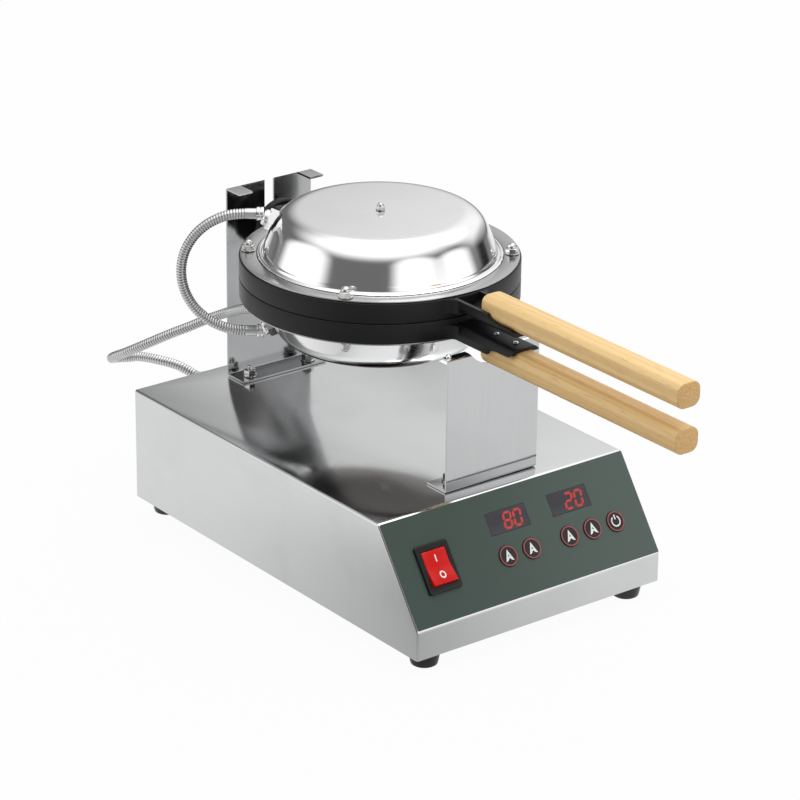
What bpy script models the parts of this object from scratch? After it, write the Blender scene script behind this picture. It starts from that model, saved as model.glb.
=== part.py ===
"""Bubble waffle maker: a reversible pair of cast moulds on a sheet metal base.

The lower mould turns end over end on a shaft in the rear support, the upper
mould opens on a hinge at the back of the lower one, and the two wooden grips
rest together in the notch of the front support. Metres, +Z up, front at -Y.
The origin is on the table under the middle of the machine.
"""

import math

import bmesh
import bpy
from mathutils import Matrix, Vector

# Clearances
SEAT = 0.0003
RUNNING = 0.00025
OVERRUN = 0.004

# Turning axis and mould ring
AXIS_Z = 0.2145
RING_Y = 0.0824
RING_RADIUS = 0.1015
RIM_WIDTH = 0.0110
RIM_HEIGHT = 0.0150
PARTING = 0.0002
RECESS_RADIUS = RING_RADIUS - RIM_WIDTH
RECESS_DEPTH = 0.0022
EDGE_BREAK = 0.0006
BOSS_INSET = 0.0189
BOSS_RADIUS = RING_RADIUS - BOSS_INSET
BOSS_HEIGHT = 0.0190

# Lid hinge, pivot disc and the shaft's collar behind the ring
HINGE_SETBACK = 0.0081
HINGE_Y = RING_Y + RING_RADIUS + HINGE_SETBACK
HINGE_RISE = 0.0150
PIVOT_DISC_RADIUS = 0.0220
PIVOT_DISC_THICKNESS = 0.0060
PIVOT_DISC_SETBACK = 0.0090
PIVOT_DISC_Y = HINGE_Y + PIVOT_DISC_SETBACK
SHAFT_RADIUS = 0.0040
SHAFT_INSET = 0.0045
SHAFT_COLLAR_RADIUS = 0.0080
SHAFT_COLLAR_LENGTH = 0.0111
SHAFT_END = 0.0110

# Supports, bent from sheet
SHEET = 0.0015
REAR_SUPPORT_Y = PIVOT_DISC_Y + PIVOT_DISC_THICKNESS + SHAFT_COLLAR_LENGTH + 2 * SEAT
REAR_SUPPORT_HALF_WIDTH = 0.0383
REAR_SUPPORT_TOP_Z = 0.2480
STOP_TAB_WIDTH = 0.0120
STOP_TAB_LENGTH = 0.0155
FRONT_SUPPORT_SETBACK = 0.0121
FRONT_SUPPORT_HALF_WIDTH = 0.0408
FRONT_SUPPORT_TOP_Z = 0.1993
SUPPORT_FOOT = 0.0200
SUPPORT_BOLT_X = 0.0270
SUPPORT_BOLT_INSET = 0.0120
BOLT_SHANK_RADIUS = 0.0020
BOLT_WASHER_RADIUS = 0.0055
BOLT_HEX_RADIUS = 0.0048
BOLT_HEX_HEIGHT = 0.0040
BOLT_TIP_HEIGHT = 0.0030
BOLT_REACH = 0.0060

# Base housing, a folded sheet box with a sloped control panel
BASE_WIDTH = 0.220
REAR_MARGIN = 0.0203
BASE_REAR_Y = REAR_SUPPORT_Y + REAR_MARGIN
PANEL_TOP_Y = -0.0609
FRONT_SUPPORT_Y = PANEL_TOP_Y + FRONT_SUPPORT_SETBACK
PANEL_FRONT_Y = -0.1069
BASE_TOP_Z = 0.0986
PANEL_BOTTOM_Z = 0.0337
FOOT_HEIGHT = 0.012
FOLD_RADIUS = 0.0018
FLOOR_THICKNESS = 0.0012

# Feet
FOOT_TOP_RADIUS = 0.0115
FOOT_BOTTOM_RADIUS = 0.0095
FOOT_EDGE = 0.0012
FOOT_INSET_X = 0.018
FOOT_INSET_Y = 0.015

# Bubble cells, as many staggered rows as the recess holds
CELL_RADIUS = 0.0120
CELL_PITCH = 0.0280
CELL_RISE = 0.0008
CELL_MARGIN = 0.0028

# Clamp ring, dome cover and their acorn nuts
CLAMP_SETBACK = 0.0012
CLAMP_WIDTH = 0.0114
CLAMP_OUTER_RADIUS = RING_RADIUS - CLAMP_SETBACK
CLAMP_INNER_RADIUS = CLAMP_OUTER_RADIUS - CLAMP_WIDTH
CLAMP_THICKNESS = 0.0010
DOME_CLAMP_GAP = 0.0004
DOME_FLANGE = 0.0039
DOME_FLANGE_RADIUS = CLAMP_INNER_RADIUS - DOME_CLAMP_GAP
DOME_FLANGE_STEP = 0.0012
DOME_SHEET = 0.0008
DOME_WALL_RADIUS = DOME_FLANGE_RADIUS - DOME_FLANGE
DOME_HEIGHT = 0.0330
DOME_RADIUS_SHARES = (0.78, 0.848, 0.884, 0.995, 1.0)
DOME_HEIGHT_SHARES = (0.97, 0.92, 0.80, 0.13, 0.0)
NUT_CIRCLE_RADIUS = CLAMP_OUTER_RADIUS - CLAMP_WIDTH / 2
NUT_ANGLE = math.radians(38)
WASHER_RADIUS = 0.0052
WASHER_THICKNESS = 0.0009
NUT_RADIUS = 0.0044
NUT_HEIGHT = 0.0034
NUT_CAP_RADIUS = 0.0035
STUD_RADIUS = 0.0020
STUD_CLEARANCE = 0.0004
STUD_REACH = 0.0085

# Tubular heater between the casting and its dome
HEATER_INSET = 0.0266
HEATER_RADIUS = BOSS_RADIUS - HEATER_INSET
HEATER_TUBE_RADIUS = 0.0040
HEATER_OPENING = math.radians(40)
HEATER_LEG = 0.0100

# Grips and the channel-shaped necks that hold them
GRIP_WIDTH = 0.0200
GRIP_HEIGHT = 0.0180
GRIP_CORNER = 0.0055
GRIP_LENGTH = 0.2060
GRIP_REAR_Y = -0.0430
GRIP_FRONT_Y = GRIP_REAR_Y - GRIP_LENGTH
GRIP_OFFSET = 0.0162
GRIP_END_BREAK = 0.0015
NECK_OUTER_WIDTH = 0.0260
NECK_GAP = 0.0045
NECK_WALL_TOP = 0.0149
NECK_END_Y = -0.0820
NECK_ROOT = 0.0080
NECK_CORNER = 0.0062
GRIP_SCREW_FIRST = 0.0104
GRIP_SCREW_PITCH = 0.0211
GRIP_SCREW_RADIUS = 0.0015
GRIP_SCREW_HEAD = 0.0027
GRIP_SCREW_HEAD_HEIGHT = 0.0012
GRIP_SCREW_REACH = 0.0110

# Hinge lug, ears and pin, and the nut on the pivot shaft
LUG_RADIUS = 0.0065
LUG_HALF_WIDTH = 0.0072
EAR_RADIUS = 0.0068
EAR_THICKNESS = 0.0062
EAR_SIDE_GAP = 0.0004
EAR_SHOULDER_SHARE = 0.7
HINGE_PIN_RADIUS = 0.0025
HINGE_PIN_HEAD_RADIUS = 0.0040
HINGE_PIN_HEAD = 0.0018
BRACKET_TOP = 0.0013
BRACKET_BOTTOM = 0.0135
BRACKET_WEB_TOP = 0.0045
PIVOT_NUT_RADIUS = 0.0078
PIVOT_NUT_THICKNESS = 0.0060

# Control panel, measured on the slope from its middle
OVERLAY_MARGIN = 0.0010
OVERLAY_THICKNESS = 0.0006
DISPLAY_WIDTH = 0.0350
DISPLAY_HEIGHT = 0.0160
DISPLAY_DEPTH = 0.0080
DISPLAY_V = 0.0160
TEMPERATURE_DISPLAY_U = -0.0063
TIME_DISPLAY_INSET = 0.0605
TIME_DISPLAY_U = BASE_WIDTH / 2 - TIME_DISPLAY_INSET
KEY_RADIUS = 0.0076
KEY_PROUD = 0.0010
KEY_DEPTH = 0.0040
KEY_EDGE = 0.0005
KEY_TRAVEL = 0.0005
KEY_V = -0.0085
KEY_PITCH = 0.0212
START_KEY_INSET = 0.0284
KEYS_U = {
    "temperature_down_key": TEMPERATURE_DISPLAY_U - KEY_PITCH / 2,
    "temperature_up_key": TEMPERATURE_DISPLAY_U + KEY_PITCH / 2,
    "time_down_key": TIME_DISPLAY_U - KEY_PITCH / 2,
    "time_up_key": TIME_DISPLAY_U + KEY_PITCH / 2,
    "start_stop_key": BASE_WIDTH / 2 - START_KEY_INSET,
}
SWITCH_INSET = 0.0335
SWITCH_U = SWITCH_INSET - BASE_WIDTH / 2
SWITCH_V = -0.0010
BEZEL_WIDTH = 0.0285
BEZEL_HEIGHT = 0.0350
BEZEL_FLANGE = 0.0020
BEZEL_CORNER = 0.0020
BEZEL_DEPTH = 0.0120
BEZEL_WALL = 0.0016
BEZEL_RIM = 0.0030
ROCKER_WIDTH = 0.0205
ROCKER_RADIUS = 0.0128
ROCKER_AXIS_DEPTH = 0.0016
ROCKER_CREST = 0.0018
ROCKER_THROW = math.radians(14)
ROCKER_TOP_ANGLE = math.radians(14)
ROCKER_BOTTOM_ANGLE = math.radians(32)
ROCKER_PIN_RADIUS = 0.0011
ROCKER_PIN_REACH = 0.0009

# Inside the base
BOARD_MARGIN = 0.0120
BOARD_WIDTH = BASE_WIDTH - 2 * BOARD_MARGIN
BOARD_HEIGHT = 0.0560
BOARD_THICKNESS = 0.0016
BOARD_DEPTH = 0.0160
BOARD_POST_RADIUS = 0.0025
BOARD_POST_INSET = 0.0040
BOARD_POST_U = BOARD_WIDTH / 2 - BOARD_POST_INSET
BOARD_POST_V = BOARD_HEIGHT / 2 - BOARD_POST_INSET
BOARD_SWITCH_RADIUS = 0.0022
CORE_SIZE = (0.0480, 0.0420, 0.0400)
COIL_SIZE = (0.0300, 0.0620, 0.0260)
TRANSFORMER_SIDE_INSET = 0.0550
TRANSFORMER_REAR_INSET = 0.1090
TRANSFORMER_PLACE = (BASE_WIDTH / 2 - TRANSFORMER_SIDE_INSET, BASE_REAR_Y - TRANSFORMER_REAR_INSET)
TERMINAL_SIZE = (0.0560, 0.0180, 0.0160)
TERMINAL_SIDE_INSET = 0.0800
TERMINAL_REAR_INSET = 0.0540
TERMINAL_PLACE = (TERMINAL_SIDE_INSET - BASE_WIDTH / 2, BASE_REAR_Y - TERMINAL_REAR_INSET)
TERMINAL_COUNT = 6
TERMINAL_SLOT = 0.0050

# Glands in the rear wall
GLAND_RADIUS = 0.0080
GLAND_FLANGE = 0.0040
GLAND_SLEEVE_RADIUS = 0.0060
GLAND_LENGTH = 0.0100
GLAND_THREAD_RADIUS = 0.0050
GLAND_THREAD = 0.0060
CONDUIT_GLAND_INSET = 0.0680
CONDUIT_GLAND_DROP = 0.0108
MAINS_GLAND_INSET = 0.0380
MAINS_GLAND_Z = 0.0400
CONDUIT_GLAND_PLACE = (CONDUIT_GLAND_INSET - BASE_WIDTH / 2, BASE_TOP_Z - CONDUIT_GLAND_DROP)
MAINS_GLAND_PLACE = (BASE_WIDTH / 2 - MAINS_GLAND_INSET, MAINS_GLAND_Z)

# Ribbed metal conduits and their angle fittings on the domes
CONDUIT_RADIUS = 0.00375
CONDUIT_ROOT_RADIUS = 0.00325
CONDUIT_BORE_RADIUS = 0.0020
CONDUIT_RIB_PITCH = 0.0044
FITTING_INSET = 0.0061
FITTING_RADIUS = DOME_WALL_RADIUS - FITTING_INSET
FITTING_BODY = 0.0120
FITTING_TOP = 0.0508
FITTING_BOTTOM = 0.0340
FITTING_CORNER = 0.0018
FITTING_HEX_RADIUS = 0.0078
FITTING_HEX_BOTTOM = 0.0300
FITTING_STUB_RADIUS = 0.0044
FITTING_STUB_BOTTOM = 0.0225
FITTING_HOLE_RADIUS = 0.0048
FITTING_SLEEVE_RADIUS = 0.0048
FITTING_SLEEVE = 0.0040
HOSE_LEVEL = 0.0448
BRIDGE_ANGLE = math.radians(143)
SUPPLY_ANGLE = math.radians(112)
BRIDGE_REACH = 0.0540
BRIDGE_RUN_SHARE = 0.16
# Route of the supply conduit, chosen by hand between its two fittings
SUPPLY_ROUTE = (
    (-0.0390, 0.1750, 0.1680),
    (-0.0441, 0.1910, 0.1630),
    (-0.0465, 0.2070, 0.1558),
    (-0.0513, 0.2170, 0.1504),
    (-0.0567, 0.2250, 0.1455),
    (-0.0631, 0.2330, 0.1401),
    (-0.0706, 0.2420, 0.1344),
    (-0.0781, 0.2510, 0.1284),
    (-0.0872, 0.2640, 0.1196),
    (-0.0931, 0.2770, 0.1115),
    (-0.0945, 0.2890, 0.1050),
    (-0.0906, 0.2985, 0.0995),
    (-0.0822, 0.3030, 0.0965),
    (-0.0740, 0.3005, 0.0958),
    (-0.0674, 0.2950, 0.0966),
    (-0.0597, 0.2810, 0.0966),
    (-0.0505, 0.2680, 0.0940),
)

LOOKS = {
    "coated_sheet": ((0.72, 0.73, 0.74), 0.30, 0.85),
    "polished_steel": ((0.80, 0.80, 0.80), 0.14, 1.0),
    "bright_steel": ((0.86, 0.86, 0.86), 0.20, 1.0),
    "black_casting": ((0.028, 0.029, 0.031), 0.42, 0.35),
    "wood": ((0.78, 0.57, 0.33), 0.45, 0.0),
    "rubber": ((0.02, 0.02, 0.02), 0.75, 0.0),
    "panel_green": ((0.10, 0.15, 0.135), 0.40, 0.0),
    "display": ((0.055, 0.058, 0.065), 0.15, 0.0),
    "black_plastic": ((0.022, 0.022, 0.024), 0.40, 0.0),
    "red_plastic": ((0.65, 0.02, 0.02), 0.30, 0.0),
    "conduit": ((0.78, 0.78, 0.79), 0.28, 1.0),
    "board": ((0.03, 0.20, 0.09), 0.50, 0.0),
    "iron": ((0.30, 0.30, 0.31), 0.45, 0.9),
    "heater_sheath": ((0.42, 0.41, 0.40), 0.45, 0.9),
}


def clear_scene():
    for item in list(bpy.data.objects):
        bpy.data.objects.remove(item, do_unlink=True)


def collection(name):
    made = bpy.data.collections.new(name)
    bpy.context.scene.collection.children.link(made)
    return made


def material(name):
    found = bpy.data.materials.get(name)
    if found:
        return found
    colour, roughness, metallic = LOOKS[name]
    made = bpy.data.materials.new(name)
    made.use_nodes = True
    shader = made.node_tree.nodes["Principled BSDF"]
    shader.inputs["Base Color"].default_value = (*colour, 1.0)
    shader.inputs["Roughness"].default_value = roughness
    shader.inputs["Metallic"].default_value = metallic
    return made


def empty(name, parent=None, location=(0, 0, 0), rotation=(0, 0, 0)):
    made = bpy.data.objects.new(name, None)
    PARTS.objects.link(made)
    made.parent = parent
    made.location = location
    made.rotation_euler = rotation
    return made


def part(name, mesh, look, parent=None, location=(0, 0, 0), rotation=(0, 0, 0)):
    made = bpy.data.objects.new(name, mesh)
    PARTS.objects.link(made)
    made.parent = parent
    made.location = location
    made.rotation_euler = rotation
    if not mesh.materials:
        mesh.materials.append(material(look))
    return made


def tool(name, mesh, like):
    """A cutter or a piece to be fused, in the frame of the object it works on."""
    made = bpy.data.objects.new(name, mesh)
    TOOLS.objects.link(made)
    made.parent = like.parent
    made.location = like.location
    made.rotation_euler = like.rotation_euler
    made.hide_render = True
    made.display_type = "WIRE"
    return made


def boolean(target, operation, mesh):
    other = tool(f"{target.name}_{operation.lower()}_{len(target.modifiers)}", mesh, target)
    modifier = target.modifiers.new(other.name, "BOOLEAN")
    modifier.operation = operation
    modifier.object = other
    return other


def cut(target, *meshes):
    for mesh in meshes:
        boolean(target, "DIFFERENCE", mesh)


def fuse(target, *meshes):
    for mesh in meshes:
        boolean(target, "UNION", mesh)


def finish_mesh(bm, name, move=None):
    if move is not None:
        bmesh.ops.transform(bm, matrix=move, verts=bm.verts)
    bmesh.ops.recalc_face_normals(bm, faces=bm.faces)
    mesh = bpy.data.meshes.new(name)
    bm.to_mesh(mesh)
    bm.free()
    return mesh


def smooth(mesh, angle=math.radians(38)):
    mesh.shade_smooth()
    mesh.set_sharp_from_angle(angle=angle)
    return mesh


def box_mesh(name, size, centre=(0, 0, 0)):
    bm = bmesh.new()
    bmesh.ops.create_cube(bm, size=1)
    return finish_mesh(bm, name, Matrix.Translation(centre) @ Matrix.Diagonal((*size, 1)))


def span_mesh(name, low, high):
    size = [b - a for a, b in zip(low, high)]
    centre = [(a + b) / 2 for a, b in zip(low, high)]
    return box_mesh(name, size, centre)


AXES = {
    "X": Matrix.Rotation(math.pi / 2, 4, "Y"),
    "Y": Matrix.Rotation(-math.pi / 2, 4, "X"),
    "Z": Matrix.Identity(4),
}


def rod_mesh(name, radius, start, end, axis="Z", at=(0, 0), sides=24, top_radius=None):
    """A cylinder, cone or prism along an axis, at its two other coordinates."""
    bm = bmesh.new()
    bmesh.ops.create_cone(
        bm,
        cap_ends=True,
        segments=sides,
        radius1=radius,
        radius2=radius if top_radius is None else top_radius,
        depth=end - start,
    )
    middle = (start + end) / 2
    place = {
        "X": (middle, *at),
        "Y": (at[0], middle, at[1]),
        "Z": (*at, middle),
    }[axis]
    return smooth(finish_mesh(bm, name, Matrix.Translation(place) @ AXES[axis]))


def evaluated_mesh(source, name):
    """The mesh that an object's modifiers or its curve make."""
    bpy.context.view_layer.update()
    graph = bpy.context.evaluated_depsgraph_get()
    mesh = bpy.data.meshes.new_from_object(source.evaluated_get(graph))
    mesh.name = name
    return mesh


def curve_mesh(curve, name, move=None, flat_caps=False, weld=1e-6):
    holder = bpy.data.objects.new(name, curve)
    TOOLS.objects.link(holder)
    mesh = evaluated_mesh(holder, name)
    bpy.data.objects.remove(holder)
    bm = bmesh.new()
    bm.from_mesh(mesh)
    bmesh.ops.remove_doubles(bm, verts=bm.verts, dist=weld)
    if flat_caps:
        bmesh.ops.dissolve_limit(
            bm, angle_limit=math.radians(0.5), verts=bm.verts, edges=bm.edges
        )
    bpy.data.meshes.remove(mesh)
    return finish_mesh(bm, name, move)


def outline_mesh(name, points, low, high, axis):
    """A flat outline, extruded between two coordinates of an axis.

    Across X the outline is (y, z), across Y it is (x, z) and across Z (x, y).
    """
    curve = bpy.data.curves.new(name, "CURVE")
    curve.dimensions = "2D"
    curve.fill_mode = "BOTH"
    curve.extrude = (high - low) / 2
    spline = curve.splines.new("POLY")
    spline.points.add(len(points) - 1)
    for point, (u, v) in zip(spline.points, points):
        point.co = (u, v, 0, 1)
    spline.use_cyclic_u = True
    turn = {
        "X": Matrix(((0, 0, 1, 0), (1, 0, 0, 0), (0, 1, 0, 0), (0, 0, 0, 1))),
        "Y": Matrix(((1, 0, 0, 0), (0, 0, -1, 0), (0, 1, 0, 0), (0, 0, 0, 1))),
        "Z": Matrix.Identity(4),
    }[axis]
    middle = (low + high) / 2
    shift = {"X": (middle, 0, 0), "Y": (0, middle, 0), "Z": (0, 0, middle)}[axis]
    return curve_mesh(curve, name, Matrix.Translation(shift) @ turn, True)


def arc(centre, radius, start, end, steps):
    return [
        (
            centre[0] + radius * math.cos(start + (end - start) * i / steps),
            centre[1] + radius * math.sin(start + (end - start) * i / steps),
        )
        for i in range(steps + 1)
    ]


def rounded_rectangle(width, height, corner, steps=3, centre=(0, 0)):
    points = []
    for i, (sx, sy) in enumerate(((1, 1), (-1, 1), (-1, -1), (1, -1))):
        middle = (
            centre[0] + sx * (width / 2 - corner),
            centre[1] + sy * (height / 2 - corner),
        )
        points += arc(middle, corner, i * math.pi / 2, (i + 1) * math.pi / 2, steps)
    return points


def turned_object(name, profile, look, steps, parent=None, **place):
    """A profile of (radius, height) points, top to bottom, turned round Z."""
    mesh = bpy.data.meshes.new(name)
    mesh.from_pydata(
        [(r, 0, z) for r, z in profile],
        [(i, i + 1) for i in range(len(profile) - 1)],
        [],
    )
    made = part(name, mesh, look, parent, **place)
    screw = made.modifiers.new("turn", "SCREW")
    screw.steps = screw.render_steps = steps
    screw.use_merge_vertices = True
    screw.merge_threshold = 1e-5
    return made


def turned_mesh(name, profile, steps):
    holder = turned_object(name, profile, "iron", steps)
    mesh = evaluated_mesh(holder, name)
    bpy.data.objects.remove(holder)
    mesh.materials.clear()
    return smooth(mesh)


def bevel(target, width, segments=1, angle=math.radians(40)):
    modifier = target.modifiers.new("edges", "BEVEL")
    modifier.width = width
    modifier.segments = segments
    modifier.limit_method = "ANGLE"
    modifier.angle_limit = angle
    return modifier


def bent(points, radius, steps=3):
    """A polyline with each inner corner rounded, as a sheet is folded."""
    rounded = [points[0]]
    for before, corner, after in zip(points, points[1:], points[2:]):
        a = (Vector(before) - Vector(corner)).normalized()
        b = (Vector(after) - Vector(corner)).normalized()
        half = a.angle(b) / 2
        middle = Vector(corner) + (a + b).normalized() * radius / math.sin(half)
        start = Vector(corner) + a * radius / math.tan(half) - middle
        end = Vector(corner) + b * radius / math.tan(half) - middle
        turn = math.atan2(start.cross(end), start.dot(end))
        rounded += [
            tuple(middle + Matrix.Rotation(turn * i / steps, 2) @ start)
            for i in range(steps + 1)
        ]
    return rounded + [points[-1]]


def strip_object(name, points, half_width, thickness, offset, look, parent=None):
    """A folded sheet: a (y, z) polyline drawn out across X and thickened."""
    bm = bmesh.new()
    rows = [
        [bm.verts.new((x, y, z)) for y, z in points] for x in (-half_width, half_width)
    ]
    for i in range(len(points) - 1):
        bm.faces.new((rows[0][i], rows[1][i], rows[1][i + 1], rows[0][i + 1]))
    mesh = bpy.data.meshes.new(name)
    bm.to_mesh(mesh)
    bm.free()
    made = part(name, mesh, look, parent)
    solid = made.modifiers.new("sheet", "SOLIDIFY")
    solid.thickness = thickness
    solid.offset = offset
    solid.use_even_offset = True
    return made


# Base


def slope():
    return Vector((0, PANEL_TOP_Y - PANEL_FRONT_Y, BASE_TOP_Z - PANEL_BOTTOM_Z))


def panel_frame():
    run = slope()
    middle = (0, (PANEL_TOP_Y + PANEL_FRONT_Y) / 2, (BASE_TOP_Z + PANEL_BOTTOM_Z) / 2)
    return empty("panel_frame", None, middle, (math.atan2(run.z, run.y), 0, 0))


def build_housing(panel):
    half = BASE_WIDTH / 2
    side = [
        (BASE_REAR_Y, FOOT_HEIGHT),
        (BASE_REAR_Y, BASE_TOP_Z),
        (PANEL_TOP_Y, BASE_TOP_Z),
        (PANEL_FRONT_Y, PANEL_BOTTOM_Z),
        (PANEL_FRONT_Y, FOOT_HEIGHT),
    ]
    mesh = outline_mesh("base_housing", side, -half, half, "X")
    bm = bmesh.new()
    bm.from_mesh(mesh)
    under = [f for f in bm.faces if f.normal.z < -0.9]
    bmesh.ops.delete(bm, geom=under, context="FACES")
    bm.to_mesh(mesh)
    bm.free()
    housing = part("base_housing", mesh, "coated_sheet")
    bevel(housing, FOLD_RADIUS, 2)
    solid = housing.modifiers.new("sheet", "SOLIDIFY")
    solid.thickness = SHEET
    solid.offset = -1
    solid.use_even_offset = True
    deep = SHEET + OVERRUN
    panel_cuts = []
    for u in (TEMPERATURE_DISPLAY_U, TIME_DISPLAY_U):
        panel_cuts.append(
            box_mesh(
                "display_cut",
                (DISPLAY_WIDTH + 2 * SEAT, DISPLAY_HEIGHT + 2 * SEAT, 2 * deep),
                (u, DISPLAY_V, 0),
            )
        )
    for u in KEYS_U.values():
        panel_cuts.append(
            rod_mesh("key_cut", KEY_RADIUS + SEAT, -deep, deep, "Z", (u, KEY_V), 14)
        )
    panel_cuts.append(
        box_mesh("switch_cut", (*switch_hole(), 2 * deep), (SWITCH_U, SWITCH_V, 0))
    )
    turn = Matrix.Translation(panel.location) @ panel.rotation_euler.to_matrix().to_4x4()
    for mesh in panel_cuts:
        mesh.transform(turn)
    cut(housing, *panel_cuts)
    for x, y in bolt_places().values():
        cut(
            housing,
            rod_mesh(
                "bolt_cut",
                BOLT_SHANK_RADIUS + SEAT,
                BASE_TOP_Z - deep,
                BASE_TOP_Z + deep,
                "Z",
                (x, y),
                12,
            ),
        )
    for place in (CONDUIT_GLAND_PLACE, MAINS_GLAND_PLACE):
        cut(
            housing,
            rod_mesh(
                "gland_cut",
                GLAND_THREAD_RADIUS + SEAT,
                BASE_REAR_Y - deep,
                BASE_REAR_Y + deep,
                "Y",
                place,
                16,
            ),
        )
    return housing


def build_floor():
    inset = SHEET + SEAT
    floor = span_mesh(
        "bottom_plate",
        (-BASE_WIDTH / 2 + inset, PANEL_FRONT_Y + inset, FOOT_HEIGHT),
        (BASE_WIDTH / 2 - inset, BASE_REAR_Y - inset, FOOT_HEIGHT + FLOOR_THICKNESS),
    )
    part("bottom_plate", floor, "iron")


def build_feet():
    top = FOOT_HEIGHT - SEAT
    profile = [
        (0, top),
        (FOOT_TOP_RADIUS - FOOT_EDGE, top),
        (FOOT_TOP_RADIUS, top - FOOT_EDGE),
        (FOOT_BOTTOM_RADIUS, FOOT_EDGE),
        (FOOT_BOTTOM_RADIUS - FOOT_EDGE, 0),
        (0, 0),
    ]
    mesh = turned_mesh("foot", profile, 14)
    for side, x in (("left", -1), ("right", 1)):
        for end, y in (
            ("front", PANEL_FRONT_Y + FOOT_INSET_Y),
            ("rear", BASE_REAR_Y - FOOT_INSET_Y),
        ):
            place = (x * (BASE_WIDTH / 2 - FOOT_INSET_X), y, 0)
            part(f"foot_{end}_{side}", mesh.copy(), "rubber", None, place)


def gland_mesh(name):
    profile = [
        (0, GLAND_LENGTH),
        (GLAND_SLEEVE_RADIUS, GLAND_LENGTH),
        (GLAND_SLEEVE_RADIUS, SEAT + GLAND_FLANGE / 2),
        (GLAND_THREAD_RADIUS, SEAT + GLAND_FLANGE / 2),
        (GLAND_THREAD_RADIUS, -SHEET - GLAND_THREAD),
        (0, -SHEET - GLAND_THREAD),
    ]
    body = turned_object(name, profile, "bright_steel", 12)
    fuse(
        body,
        rod_mesh("flange", GLAND_RADIUS, SEAT, SEAT + GLAND_FLANGE, "Z", (0, 0), 6),
        rod_mesh(
            "lock_nut",
            GLAND_RADIUS,
            -SHEET - SEAT - GLAND_FLANGE,
            -SHEET - SEAT,
            "Z",
            (0, 0),
            6,
        ),
    )
    mesh = evaluated_mesh(body, name)
    bpy.data.objects.remove(body)
    mesh.transform(AXES["Y"])
    return smooth(mesh)


def build_glands():
    for name, (x, z), look in (
        ("conduit_gland", CONDUIT_GLAND_PLACE, "bright_steel"),
        ("mains_gland", MAINS_GLAND_PLACE, "black_plastic"),
    ):
        mesh = gland_mesh(name)
        mesh.materials.clear()
        part(name, mesh, look, None, (x, BASE_REAR_Y, z))


def build_transformer():
    floor = FOOT_HEIGHT + FLOOR_THICKNESS + SEAT
    x, y = TRANSFORMER_PLACE
    width, depth, height = CORE_SIZE
    core = part(
        "transformer",
        span_mesh(
            "transformer",
            (x - width / 2, y - depth / 2, floor),
            (x + width / 2, y + depth / 2, floor + height),
        ),
        "iron",
    )
    fuse(core, box_mesh("coil", COIL_SIZE, (x, y, floor + height / 2)))


def build_terminals():
    floor = FOOT_HEIGHT + FLOOR_THICKNESS + SEAT
    x, y = TERMINAL_PLACE
    width, depth, height = TERMINAL_SIZE
    block = part(
        "terminal_block",
        box_mesh("terminal_block", TERMINAL_SIZE, (x, y, floor + height / 2)),
        "black_plastic",
    )
    step = width / TERMINAL_COUNT
    for i in range(TERMINAL_COUNT):
        middle = x - width / 2 + step * (i + 0.5)
        cut(
            block,
            box_mesh(
                "slot",
                (TERMINAL_SLOT, depth + OVERRUN, height),
                (middle, y, floor + height),
            ),
        )


# Control panel


def switch_hole():
    return (
        BEZEL_WIDTH - 2 * BEZEL_RIM + 2 * SEAT,
        BEZEL_HEIGHT - 2 * BEZEL_RIM + 2 * SEAT,
    )


def build_overlay(panel):
    width = BASE_WIDTH - 2 * OVERLAY_MARGIN
    height = slope().length - 2 * OVERLAY_MARGIN
    low, high = SEAT, SEAT + OVERLAY_THICKNESS
    overlay = part(
        "control_overlay",
        box_mesh("control_overlay", (width, height, high - low), (0, 0, (low + high) / 2)),
        "panel_green",
        panel,
    )
    for u in (TEMPERATURE_DISPLAY_U, TIME_DISPLAY_U):
        size = (DISPLAY_WIDTH + 2 * SEAT, DISPLAY_HEIGHT + 2 * SEAT, OVERRUN)
        cut(overlay, box_mesh("window", size, (u, DISPLAY_V, high)))
    for u in KEYS_U.values():
        cut(
            overlay,
            rod_mesh("hole", KEY_RADIUS + SEAT, low - OVERRUN, high + OVERRUN, "Z", (u, KEY_V), 14),
        )
    cut(overlay, box_mesh("hole", (*switch_hole(), OVERRUN), (SWITCH_U, SWITCH_V, high)))


def build_displays(panel):
    face = SEAT + OVERLAY_THICKNESS
    for name, u in (
        ("temperature_display", TEMPERATURE_DISPLAY_U),
        ("time_display", TIME_DISPLAY_U),
    ):
        size = (DISPLAY_WIDTH, DISPLAY_HEIGHT, DISPLAY_DEPTH)
        mesh = box_mesh(name, size, (u, DISPLAY_V, face - DISPLAY_DEPTH / 2))
        part(name, mesh, "display", panel)


def build_keys(panel):
    face = SEAT + OVERLAY_THICKNESS + KEY_PROUD
    profile = [
        (0, 0),
        (KEY_RADIUS - KEY_EDGE, 0),
        (KEY_RADIUS, -KEY_EDGE),
        (KEY_RADIUS, -KEY_DEPTH),
        (0, -KEY_DEPTH),
    ]
    mesh = turned_mesh("key", profile, 14)
    for name, u in KEYS_U.items():
        part(name, mesh.copy(), "black_plastic", panel, (u, KEY_V, face))


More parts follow.
